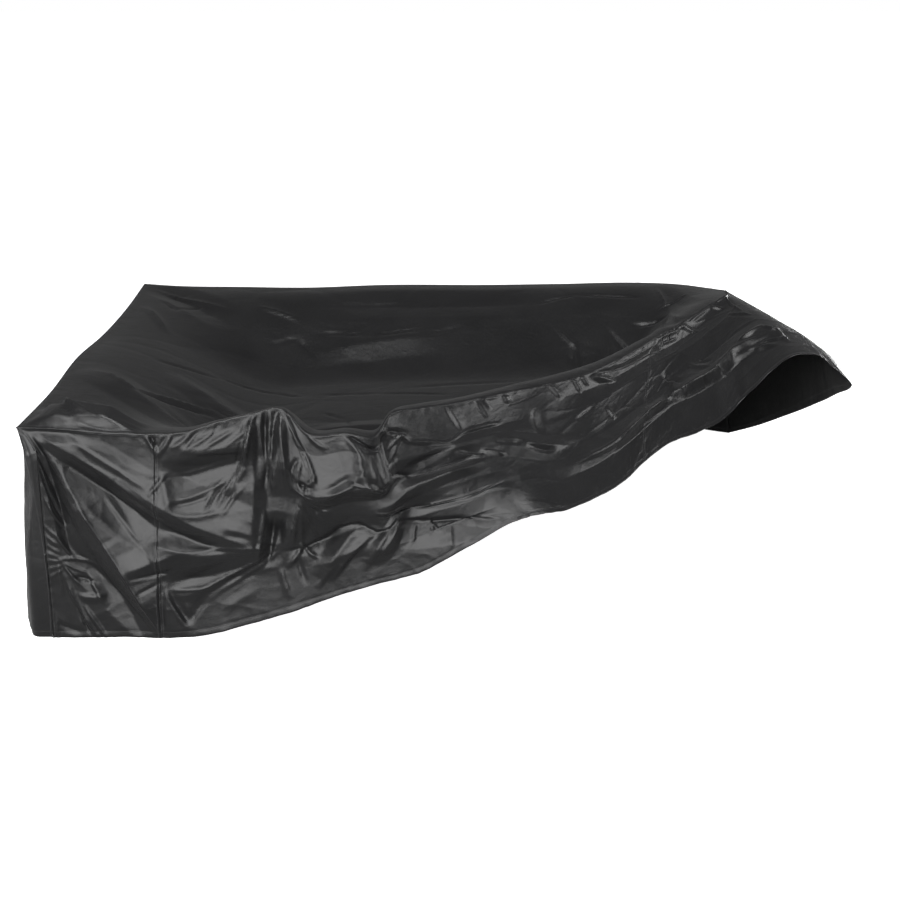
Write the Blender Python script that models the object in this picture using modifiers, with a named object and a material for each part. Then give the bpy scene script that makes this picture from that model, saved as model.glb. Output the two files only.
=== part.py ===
"""Fitted cover for patio furniture, half pulled on: its front right corner is thrown back over the top.
Six sewn panels of coated cloth, each a thin closed sheet, hang as they do over what the cover protects,
which is left out. Metres, +Z up. Places in the tables are from the middle of the covered block, heights
from the floor."""

from collections import namedtuple

import bmesh
import bpy
import numpy as np

COLLECTION_NAME = "patio_furniture_cover"

# Driving dimensions
COVER_WIDTH = 2.74
COVER_DEPTH = 2.08
COVER_HEIGHT = 0.71
CLOTH_THICKNESS = 0.002
SEAM_GAP = 0.0008
RIM_WIDTH = 0.12

LEFT = -COVER_WIDTH / 2
FRONT = -COVER_DEPTH / 2
BACK = COVER_DEPTH / 2

# The top panel rests on a raised rim all round. The part's origin is the middle of the back rim.
ORIGIN = (0.0, BACK - RIM_WIDTH / 2, 0.714)

# How many quads each sheet has. A row is one stretch of the sections in the table below.
Stretch = namedtuple("Stretch", "end_section columns_per_section")
STRETCHES = [
    Stretch(3, 4),
    Stretch(12, 3),
    Stretch(36, 2),
]
WALL_ROWS = 16
BACK_ROWS = 8
ROW_RATIO = WALL_ROWS // BACK_ROWS
TOP_GRADING = 1.2

CLOTH_COLOUR = (0.024, 0.024, 0.026, 1.0)
CLOTH_ROUGHNESS = 0.42

# The walls from the seam at the front left corner, along the front, over the right rim and back along
# its outside. A row is one section: its point on the top seam, the point where it bends, its
# point on the hem, and how far from the bend the bend reaches.
Section = namedtuple("Section", "seam_x seam_y seam_z knee_x knee_y knee_z hem_x hem_y hem_z bend")
SECTIONS = [
    Section(LEFT, FRONT, 0.705, -1.308, -1.065, 0.640, -1.308, -1.095, 0.000, 0.03),
    Section(-1.230, -1.045, 0.700, -1.210, -1.070, 0.36, -1.200, -1.098, 0.000, 0.20),
    Section(-1.090, -1.045, 0.688, -1.080, -1.075, 0.36, -1.070, -1.100, 0.000, 0.20),
    Section(-0.940, -1.045, 0.680, -0.950, -1.085, 0.36, -0.955, -1.105, 0.000, 0.20),
    Section(-0.850, -1.040, 0.684, -0.850, -1.075, 0.36, -0.840, -1.090, 0.003, 0.20),
    Section(-0.750, -1.030, 0.712, -0.730, -1.070, 0.38, -0.700, -1.075, 0.034, 0.20),
    Section(-0.640, -1.015, 0.735, -0.620, -1.070, 0.40, -0.590, -1.065, 0.064, 0.20),
    Section(-0.545, -1.000, 0.746, -0.530, -1.070, 0.42, -0.490, -1.060, 0.095, 0.20),
    Section(-0.450, -1.035, 0.668, -0.430, -1.075, 0.40, -0.390, -1.060, 0.130, 0.20),
    Section(-0.345, -1.035, 0.672, -0.320, -1.080, 0.41, -0.290, -1.060, 0.165, 0.20),
    Section(-0.255, -1.020, 0.655, -0.220, -1.080, 0.40, -0.180, -1.050, 0.192, 0.20),
    Section(-0.200, -0.900, 0.694, -0.150, -1.065, 0.42, -0.105, -1.040, 0.210, 0.20),
    Section(-0.104, -0.814, 0.688, -0.060, -1.040, 0.44, -0.006, -1.038, 0.260, 0.20),
    Section(0.015, -0.728, 0.678, 0.050, -1.000, 0.46, 0.105, -1.037, 0.315, 0.20),
    Section(0.140, -0.621, 0.670, 0.150, -0.930, 0.47, 0.203, -1.024, 0.365, 0.20),
    Section(0.253, -0.516, 0.660, 0.230, -0.830, 0.48, 0.290, -1.015, 0.384, 0.20),
    Section(0.353, -0.438, 0.655, 0.320, -0.740, 0.48, 0.377, -0.982, 0.385, 0.20),
    Section(0.470, -0.338, 0.652, 0.410, -0.640, 0.49, 0.461, -0.915, 0.390, 0.20),
    Section(0.558, -0.255, 0.655, 0.490, -0.570, 0.50, 0.531, -0.846, 0.395, 0.20),
    Section(0.692, -0.093, 0.665, 0.600, -0.430, 0.52, 0.605, -0.758, 0.405, 0.20),
    Section(0.842, 0.107, 0.685, 0.740, -0.270, 0.54, 0.690, -0.620, 0.420, 0.20),
    Section(0.952, 0.246, 0.700, 0.860, -0.130, 0.56, 0.809, -0.468, 0.440, 0.20),
    Section(1.061, 0.383, 0.722, 0.980, 0.000, 0.59, 0.935, -0.373, 0.450, 0.20),
    Section(1.166, 0.520, 0.742, 1.100, 0.120, 0.64, 1.070, -0.262, 0.480, 0.18),
    Section(1.232, 0.590, 0.757, 1.185, 0.170, 0.69, 1.143, -0.212, 0.540, 0.15),
    Section(1.242, 0.617, 0.753, 1.235, 0.200, 0.73, 1.180, -0.235, 0.590, 0.12),
    Section(1.250, 0.644, 0.749, 1.285, 0.200, 0.745, 1.235, -0.223, 0.645, 0.12),
    Section(1.257, 0.671, 0.745, 1.320, 0.200, 0.745, 1.287, -0.254, 0.700, 0.12),
    Section(1.263, 0.698, 0.741, 1.355, 0.180, 0.738, 1.330, -0.262, 0.715, 0.10),
    Section(1.268, 0.725, 0.737, 1.385, 0.100, 0.730, 1.372, -0.290, 0.718, 0.10),
    Section(1.273, 0.752, 0.733, 1.412, -0.020, 0.724, 1.387, -0.450, 0.717, 0.08),
    Section(1.278, 0.779, 0.729, 1.436, -0.280, 0.714, 1.394, -0.637, 0.712, 0.06),
    Section(1.283, 0.803, 0.725, 1.437, -0.180, 0.712, 1.440, -0.340, 0.580, 0.04),
    Section(1.287, 0.827, 0.722, 1.420, 0.020, 0.710, 1.445, -0.010, 0.430, 0.04),
    Section(1.291, 0.851, 0.719, 1.385, 0.360, 0.710, 1.440, 0.330, 0.280, 0.04),
    Section(1.295, 0.875, 0.716, 1.335, 0.700, 0.700, 1.425, 0.670, 0.130, 0.04),
    Section(1.300, 0.900, 0.712, 1.3085, 0.907, 0.640, 1.385, 0.970, 0.000, 0.04),
]

# Sections where one panel is sewn to the next, and where the top panel turns back
CORNER_PANEL_END = 3
FRONT_PANEL_END = 20
THROWN_BACK_CORNER = 24

# The seam and hem lines round the rest of the cover
Place = namedtuple("Place", "x y z")
LEFT_TOP_SEAM = [
    Place(LEFT, FRONT, 0.705),
    Place(-1.365, -0.67, 0.705),
    Place(-1.378, -0.21, 0.712),
    Place(-1.368, 0.16, 0.704),
    Place(-1.366, 0.65, 0.710),
    Place(LEFT, BACK, 0.728),
]
LEFT_MIDDLE = [
    Place(-1.308, -1.080, 0.36),
    Place(-1.362, -1.072, 0.36),
    Place(-1.385, -1.020, 0.36),
    Place(-1.390, -0.60, 0.36),
    Place(-1.398, 0.00, 0.36),
    Place(-1.386, 0.60, 0.36),
    Place(-1.3875, 1.0525, 0.364),
]
LEFT_HEM = [
    Place(-1.308, -1.095, 0.0),
    Place(-1.370, -1.085, 0.0),
    Place(-1.400, -1.030, 0.0),
    Place(-1.410, -0.50, 0.0),
    Place(-1.396, 0.20, 0.0),
    Place(-1.405, 1.065, 0.0),
]
BACK_TOP_SEAM = [
    Place(LEFT, BACK, 0.728),
    Place(-1.22, 1.045, 0.716),
    Place(-0.93, BACK, 0.711),
    Place(-0.62, BACK, 0.706),
    Place(-0.26, 1.043, 0.716),
    Place(0.20, BACK, 0.714),
    Place(0.56, 1.044, 0.716),
    Place(0.90, 1.045, 0.720),
    Place(1.10, 1.025, 0.716),
    Place(1.300, 0.900, 0.712),
]
BACK_HEM = [
    Place(-1.405, 1.065, 0.0),
    Place(-0.70, 1.085, 0.0),
    Place(0.10, 1.068, 0.0),
    Place(0.80, 1.085, 0.0),
    Place(1.20, 1.060, 0.0),
    Place(1.385, 0.970, 0.0),
]

# The top panel sags between the rims. A slope runs from where it starts to where it is full, in
# metres from that edge.
SAG_DEPTH = 0.24
Slope = namedtuple("Slope", "start full")
LEFT_SLOPE = Slope(0.05, 0.75)
BACK_SLOPE = Slope(0.07, 0.80)
FRONT_SLOPE = Slope(0.0, 0.50)
RIGHT_SLOPE = Slope(0.0, 0.50)
# The front seam's dips die out behind it. The higher this power, the sooner.
HEIGHT_FADE = 6

# A fold is a straight crest (height above 0) or trough (below 0). It slopes away over one width on the
# side nearer the top seam, or nearer the back, and over the other width on the other side, and it
# fades towards its ends. On the walls a place is metres along them and metres down from the top
# seam, on the top panel it is x and y.
Fold = namedtuple("Fold", "start_across start_down end_across end_down near_width far_width height")
WALL_FOLDS = [
    # From the front left corner down to the right
    Fold(0.00, -0.020, 0.44, 0.285, 0.10, 0.05, 0.036),
    Fold(0.28, 0.155, 0.74, 0.470, 0.12, 0.05, 0.038),
    Fold(0.00, 0.015, 0.45, 0.375, 0.05, 0.10, -0.026),
    Fold(0.34, 0.290, 0.74, 0.490, 0.04, 0.04, -0.012),
    Fold(0.03, -0.005, 0.22, 0.370, 0.10, 0.06, 0.036),
    Fold(0.15, 0.235, 0.42, 0.740, 0.10, 0.07, 0.036),
    Fold(0.05, 0.020, 0.10, 0.450, 0.05, 0.04, -0.022),
    Fold(0.08, 0.370, 0.40, 0.730, 0.06, 0.07, -0.024),
    Fold(0.26, 0.480, 0.48, 0.395, 0.06, 0.05, 0.018),
    # Between the front seam and the peak
    Fold(0.40, 0.030, 0.78, 0.125, 0.06, 0.06, 0.014),
    Fold(0.36, 0.150, 0.78, 0.145, 0.06, 0.08, -0.022),
    Fold(0.34, 0.372, 0.80, 0.490, 0.06, 0.09, 0.030),
    Fold(0.38, 0.510, 0.78, 0.510, 0.05, 0.05, -0.014),
    Fold(0.42, 0.575, 0.82, 0.470, 0.05, 0.04, 0.014),
    Fold(0.40, 0.740, 0.96, 0.715, 0.17, 0.06, 0.034),
    Fold(0.730, 0.150, 0.690, 0.500, 0.05, 0.12, 0.020),
    Fold(0.74, -0.020, 0.69, 0.220, 0.04, 0.03, 0.022),
    Fold(0.79, -0.020, 0.765, 0.380, 0.05, 0.05, -0.018),
    Fold(0.785, 0.350, 0.735, 0.540, 0.05, 0.035, -0.030),
    Fold(0.845, -0.040, 0.795, 0.300, 0.10, 0.04, 0.028),
    Fold(0.92, 0.240, 0.81, 0.500, 0.05, 0.05, 0.022),
    # The patch that hangs over, and the hem band below it
    Fold(0.82, 0.262, 1.26, 0.215, 0.16, 0.07, 0.046),
    Fold(1.08, -0.020, 1.13, 0.260, 0.05, 0.07, 0.018),
    Fold(1.21, 0.000, 1.22, 0.270, 0.05, 0.05, -0.022),
    Fold(0.84, 0.500, 1.14, 0.420, 0.13, 0.08, -0.030),
    Fold(1.10, 0.430, 1.74, 0.700, 0.12, 0.10, -0.032),
    Fold(1.09, 0.400, 0.91, 0.620, 0.06, 0.05, 0.022),
    Fold(1.25, 0.410, 1.08, 0.610, 0.05, 0.05, 0.022),
    Fold(0.76, 0.725, 1.66, 0.750, 0.16, 0.06, 0.034),
    # Long soft folds towards the thrown-back corner
    Fold(1.20, 0.185, 1.90, 0.170, 0.18, 0.06, -0.016),
    Fold(1.15, 0.280, 1.70, 0.315, 0.08, 0.05, -0.022),
    Fold(1.12, 0.345, 1.60, 0.365, 0.05, 0.04, 0.022),
    Fold(1.10, 0.400, 1.75, 0.510, 0.05, 0.05, -0.020),
    Fold(1.60, 0.270, 2.05, 0.400, 0.07, 0.07, 0.018),
    Fold(1.90, 0.090, 3.20, 0.100, 0.09, 0.10, -0.022),
    Fold(1.90, 0.505, 2.55, 0.490, 0.10, 0.05, 0.022),
    Fold(2.25, 0.500, 2.75, 0.460, 0.10, 0.05, 0.022),
    Fold(2.60, 0.450, 3.35, 0.480, 0.12, 0.05, 0.036),
]
TOP_FOLDS = [
    Fold(-1.36, -0.880, -0.98, -0.960, 0.20, 0.08, 0.060),
    Fold(-1.32, 1.000, -0.90, 0.600, 0.10, 0.12, -0.026),
    Fold(-1.05, -0.120, -0.62, -0.420, 0.10, 0.10, 0.020),
    Fold(-1.32, -0.360, -0.82, -0.700, 0.10, 0.10, 0.020),
    Fold(-0.70, 0.800, 0.60, 0.820, 0.10, 0.12, -0.018),
    Fold(-0.60, 0.500, 0.05, 0.600, 0.10, 0.12, 0.020),
    Fold(-0.65, -0.430, 0.15, -0.330, 0.12, 0.12, 0.024),
    Fold(0.52, 0.520, 0.72, 0.100, 0.08, 0.12, -0.022),
    Fold(0.74, 0.550, 0.80, 0.120, 0.08, 0.08, -0.018),
    Fold(0.80, 0.480, 1.00, 0.240, 0.08, 0.08, -0.012),
    Fold(1.00, 0.980, 1.10, 0.520, 0.06, 0.06, -0.010),
]
# How much of a fold's length it fades over at each end, and how close to a seam folds die out
FOLD_END_SHARE = 0.3
SEAM_CALM = 0.05


def through(points, knots, at):
    """Positions on the smooth curve that passes each point at its knot (a Catmull-Rom spline)."""
    points, knots, at = np.asarray(points, float), np.asarray(knots, float), np.asarray(at, float)
    chords = np.diff(points, axis=0) / np.diff(knots)[:, None]
    before, after = np.diff(knots)[:-1, None], np.diff(knots)[1:, None]
    inner = (chords[:-1] * after + chords[1:] * before) / (before + after)
    slopes = np.concatenate([chords[:1], inner, chords[-1:]])
    i = np.clip(np.searchsorted(knots, at, side="right") - 1, 0, len(knots) - 2)
    span = (knots[i + 1] - knots[i])[:, None]
    f = (at - knots[i])[:, None] / span
    return (
        points[i] * (1 + 2 * f) * (1 - f) ** 2
        + slopes[i] * span * f * (1 - f) ** 2
        + points[i + 1] * f**2 * (3 - 2 * f)
        + slopes[i + 1] * span * f**2 * (f - 1)
    )


def lengths_along(points):
    """The distance along a chain of points at each of them."""
    steps = np.linalg.norm(np.diff(np.asarray(points, float), axis=0), axis=1)
    return np.concatenate([[0.0], np.cumsum(steps)])


def spread(points, shares):
    """Positions at these shares of the length of the smooth curve through the points."""
    knots = lengths_along(points)
    return through(points, knots, np.asarray(shares) * knots[-1])


def smooth_step(value):
    value = np.clip(value, 0.0, 1.0)
    return value * value * (3 - 2 * value)


def rise(distance, slope):
    return smooth_step((distance - slope.start) / (slope.full - slope.start))


SECTION_VALUES = np.array(SECTIONS, float)
SECTION_KNOTS = (lengths_along(SECTION_VALUES[:, :3]) + lengths_along(SECTION_VALUES[:, 6:9])) / 2
STRETCH_ENDS = np.array([0] + [stretch.end_section for stretch in STRETCHES])
STRETCH_COLUMNS = np.cumsum(
    [0] + [n * stretch.columns_per_section for n, stretch in zip(np.diff(STRETCH_ENDS), STRETCHES)]
)
COLUMN_SECTIONS = np.interp(np.arange(STRETCH_COLUMNS[-1] + 1), STRETCH_COLUMNS, STRETCH_ENDS)
COLUMN_KNOTS = np.interp(COLUMN_SECTIONS, np.arange(len(SECTIONS)), SECTION_KNOTS)
FIRST_SEAM, SECOND_SEAM, TOP_COLUMNS = (
    int(np.interp(section, STRETCH_ENDS, STRETCH_COLUMNS))
    for section in (CORNER_PANEL_END, FRONT_PANEL_END, THROWN_BACK_CORNER)
)
TOP_ROWS = len(COLUMN_KNOTS) - 1 - TOP_COLUMNS
TOP_SHARES = (np.arange(TOP_ROWS + 1) / TOP_ROWS) ** TOP_GRADING


def bent_line(start, knee, end, bend, share):
    """The point at this share of the length of a line with one rounded bend."""
    before = np.linalg.norm(knee - start, axis=-1)
    after = np.linalg.norm(end - knee, axis=-1)
    length = before + after

    def point(distance):
        first = np.clip(distance / before, 0, 1)[:, None]
        second = np.clip((distance - before) / after, 0, 1)[:, None]
        return start + (knee - start) * first + (end - knee) * second

    distance = share * length
    reach = np.minimum(bend, np.minimum(distance, length - distance))
    return (point(distance - reach) + 2 * point(distance) + point(distance + reach)) / 4


def relief(places, folds):
    """How far the folds lift or sink the cloth at these places, in the folds' own flat coordinates."""
    total = np.zeros(places.shape[:-1])
    for fold in folds:
        start = np.array([fold.start_across, fold.start_down])
        run = np.array([fold.end_across, fold.end_down]) - start
        length = np.linalg.norm(run)
        offset = places - start
        along = (offset @ run) / length**2
        side = (run[0] * offset[..., 1] - run[1] * offset[..., 0]) / length
        width = np.where(side < 0, fold.near_width, fold.far_width)
        slope = np.clip(1 - np.abs(side) / width, 0, 1)
        fade = np.clip(np.minimum(along, 1 - along) / FOLD_END_SHARE, 0, 1)
        total += fold.height * slope * fade
    return total


def outward(rows):
    """The unit normals of rows of points, on the side that is outside for all the panels here."""
    normals = np.cross(np.gradient(rows, axis=0), np.gradient(rows, axis=1))
    return normals / np.linalg.norm(normals, axis=-1, keepdims=True)


def walls():
    """Rows of points, from the top seam down to the hem, of the front and right walls as one."""
    columns = through(SECTION_VALUES, SECTION_KNOTS, COLUMN_KNOTS)
    seam, knee, hem, bend = columns[:, 0:3], columns[:, 3:6], columns[:, 6:9], columns[:, 9]
    shares = np.linspace(0, 1, WALL_ROWS + 1)
    rows = np.array([bent_line(seam, knee, hem, bend, share) for share in shares])
    across, down = np.meshgrid(COLUMN_KNOTS, shares * COVER_HEIGHT)
    calm = smooth_step(down / SEAM_CALM) * smooth_step(across / SEAM_CALM)
    lift = relief(np.stack([across, down], -1), WALL_FOLDS) * calm
    return rows + outward(rows) * lift[..., None]


def bowed(start, middle, end, row_count):
    """Rows of points from start through middle to end, on a parabola."""
    share = np.linspace(0, 1, row_count + 1)[:, None, None]
    through_start = start * (1 - share) * (1 - 2 * share)
    through_middle = middle * 4 * share * (1 - share)
    through_end = end * share * (2 * share - 1)
    return through_start + through_middle + through_end


def left_wall(corner_seam):
    """Rows of the left wall. Its first column is the seam round the corner, on the front."""
    top = spread(LEFT_TOP_SEAM, TOP_SHARES)
    middle = spread(LEFT_MIDDLE, TOP_SHARES)
    hem = spread(LEFT_HEM, TOP_SHARES)
    rows = bowed(top, middle, hem, WALL_ROWS)
    rows[:, 0] = corner_seam
    return rows


def top_panel(front, right):
    """Rows of the top panel, from the front seam to the back: a patch between its four edges that sags."""
    across = (front[:, 0] - front[0, 0]) / (front[-1, 0] - front[0, 0])
    back = spread(BACK_TOP_SEAM, across)
    left = spread(LEFT_TOP_SEAM, TOP_SHARES)
    u, v = across[None, :, None], TOP_SHARES[:, None, None]
    toward_front = np.concatenate([1 - v, 1 - v, (1 - v) ** HEIGHT_FADE], axis=2)
    front_corners = (1 - u) * front[0] + u * front[-1]
    back_corners = (1 - u) * back[0] + u * back[-1]
    crosswise = (1 - u) * left[:, None] + u * right[:, None]
    rows = crosswise + toward_front * (front - front_corners) + (1 - toward_front) * (back - back_corners)
    depth = np.linalg.norm(back - front, axis=1)
    run = depth * TOP_SHARES[:, None]
    sag = (
        rise(rows[..., 0] - LEFT, LEFT_SLOPE)
        * rise(depth - run, BACK_SLOPE)
        * rise(run, FRONT_SLOPE)
        * rise((1 - across) * COVER_WIDTH, RIGHT_SLOPE)
    )
    calm = smooth_step(run / SEAM_CALM) * smooth_step((depth - run) / SEAM_CALM)
    calm *= smooth_step(across * COVER_WIDTH / SEAM_CALM) * smooth_step((1 - across) * COVER_WIDTH / SEAM_CALM)
    rows[..., 2] += relief(rows[..., :2], TOP_FOLDS) * calm - SAG_DEPTH * sag
    return rows


def back_wall(top):
    """Rows of the back wall, straight down from the top seam to the hem."""
    across = lengths_along(top)
    hem = spread(BACK_HEM, across / across[-1])
    return bowed(top, (top + hem) / 2, hem, BACK_ROWS)


def inwards(edge, inner):
    """Unit directions into a sheet, across its edge, at each point of that edge."""
    along = np.gradient(edge, axis=0)
    along /= np.linalg.norm(along, axis=1, keepdims=True)
    into = inner - edge
    into -= (into * along).sum(1, keepdims=True) * along
    return into / np.linalg.norm(into, axis=1, keepdims=True)


def part_seam(edge, inner, other_edge, other_inner):
    """Draw two sheets back from the seam that they share, as far as their thickness there takes."""
    into, other_into = inwards(edge, inner), inwards(other_edge, other_inner)
    half_angle = np.arccos(np.clip((into * other_into).sum(1), -0.9999, 0.97)) / 2
    beside = np.pad(half_angle, 1, mode="edge")
    half_angle = np.minimum(half_angle, np.minimum(beside[:-2], beside[2:]))
    room = CLOTH_THICKNESS / 2 / np.tan(half_angle) + SEAM_GAP / 2 / np.sin(half_angle)
    edge += into * room[:, None]
    other_edge += other_into * room[:, None]


def part_back_corner(edge, inner, back_edge, back_inner):
    """The same at a back corner, where the back wall has fewer rows than the wall beside it."""
    part_seam(edge[::ROW_RATIO], inner[::ROW_RATIO], back_edge, back_inner)
    for row in range(1, ROW_RATIO):
        share = row / ROW_RATIO
        edge[row::ROW_RATIO] = edge[:-1:ROW_RATIO] * (1 - share) + edge[ROW_RATIO::ROW_RATIO] * share


def panels():
    """Each panel's name and its rows of points, on the middle of its cloth, drawn back from its seams."""
    wall = walls()
    top = top_panel(wall[0, : TOP_COLUMNS + 1], wall[0, TOP_COLUMNS:])
    left = left_wall(wall[:, 0])
    back = back_wall(top[-1])
    front, side = wall[:, : TOP_COLUMNS + 1], wall[:, TOP_COLUMNS:]
    part_seam(front[0], front[1], top[0], top[1])
    part_seam(side[0], side[1], top[:, -1], top[:, -2])
    part_seam(left[0], left[1], top[:, 0], top[:, 1])
    part_seam(back[0], back[1], top[-1], top[-2])
    part_seam(left[:, 0], left[:, 1], wall[:, 0], wall[:, 1])
    part_back_corner(left[:, -1], left[:, -2], back[:, 0], back[:, 1])
    part_back_corner(wall[:, -1], wall[:, -2], back[:, -1], back[:, -2])
    corner_panel = wall[:, : FIRST_SEAM + 1].copy()
    front_panel = wall[:, FIRST_SEAM : SECOND_SEAM + 1].copy()
    right_wall = wall[:, SECOND_SEAM:].copy()
    part_seam(corner_panel[:, -1], corner_panel[:, -2], front_panel[:, 0], front_panel[:, 1])
    part_seam(front_panel[:, -1], front_panel[:, -2], right_wall[:, 0], right_wall[:, 1])
    return {
        "top_panel": top,
        "left_wall": left,
        "front_corner_panel": corner_panel,
        "front_panel": front_panel,
        "right_wall": right_wall,
        "back_wall": back,
    }


def cloth_material(name):
    material = bpy.data.materials.new(name)
    material.use_nodes = True
    shader = material.node_tree.nodes["Principled BSDF"]
    shader.inputs["Base Color"].default_value = CLOTH_COLOUR
    shader.inputs["Roughness"].default_value = CLOTH_ROUGHNESS
    shader.inputs["Metallic"].default_value = 0.0
    return material


def cloth_sheet(name, rows, frame, collection):
    """One panel: a grid moved onto its rows of points, then thickened to both sides."""
    down, across = rows.shape[0] - 1, rows.shape[1] - 1
    grid = bmesh.new()
    bmesh.ops.create_grid(grid, x_segments=across, y_segments=down, size=1.0)
    for vertex in grid.verts:
        column = round((vertex.co.x + 1) / 2 * across)
        row = round((vertex.co.y + 1) / 2 * down)
        vertex.co = rows[row, column]
    mesh = bpy.data.meshes.new(name)
    grid.to_mesh(mesh)
    grid.free()
    mesh.shade_smooth()
    mesh.materials.append(cloth_material(name + "_cloth"))
    sheet = bpy.data.objects.new(name, mesh)
    sheet.parent = frame
    collection.objects.link(sheet)
    cloth = sheet.modifiers.new("Cloth", "SOLIDIFY")
    cloth.thickness = CLOTH_THICKNESS
    cloth.offset = 0.0
    return sheet


def clear_scene():
    for scene_object in list(bpy.data.objects):
        bpy.data.objects.remove(scene_object)


def main():
    clear_scene()
    collection = bpy.data.collections.new(COLLECTION_NAME)
    bpy.context.scene.collection.children.link(collection)
    frame = bpy.data.objects.new("frame", None)
    frame.location = [-value for value in ORIGIN]
    collection.objects.link(frame)
    for name, rows in panels().items():
        cloth_sheet(name, rows, frame, collection)


if __name__ == "__main__":
    main()
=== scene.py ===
import math
from collections import namedtuple

import bmesh
import bpy
import numpy as np
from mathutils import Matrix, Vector


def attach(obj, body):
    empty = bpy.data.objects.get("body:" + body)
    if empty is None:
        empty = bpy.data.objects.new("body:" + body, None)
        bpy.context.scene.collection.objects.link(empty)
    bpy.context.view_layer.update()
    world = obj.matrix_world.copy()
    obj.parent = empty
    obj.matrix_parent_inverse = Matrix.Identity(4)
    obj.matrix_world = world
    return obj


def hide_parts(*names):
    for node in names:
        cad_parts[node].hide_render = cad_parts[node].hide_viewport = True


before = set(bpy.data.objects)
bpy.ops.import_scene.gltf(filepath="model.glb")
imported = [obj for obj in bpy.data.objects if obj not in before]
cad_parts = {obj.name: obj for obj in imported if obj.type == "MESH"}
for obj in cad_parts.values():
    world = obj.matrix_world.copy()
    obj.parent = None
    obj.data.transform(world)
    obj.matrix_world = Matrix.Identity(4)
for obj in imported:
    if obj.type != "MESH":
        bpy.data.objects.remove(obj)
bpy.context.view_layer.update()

bl_info = {
    "name": "Patio Furniture Cover",
    "version": (1, 0, 0),
    "blender": (4, 5, 0),
    "location": "View3D > Sidebar > Cover",
    "description": "A fitted cover of coated cloth, half pulled on, with its panels, seams, hem and creases",
    "category": "Object",
}

# Sizes in metres. Places in the tables are from the middle of the covered block, heights from the floor.
COVER_WIDTH = 2.74
COVER_DEPTH = 2.08
COVER_HEIGHT = 0.71
CORNER_PANEL_WIDTH = 0.42
RIM_WIDTH = 0.12
LEFT = -COVER_WIDTH / 2
FRONT = -COVER_DEPTH / 2
BACK = COVER_DEPTH / 2

# The top panel rests on a raised rim all round. The part's origin is the middle of the back rim.
ORIGIN = np.array([0.0, BACK - RIM_WIDTH / 2, 0.714])
FLOOR_HEIGHT = -ORIGIN[2]

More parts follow.
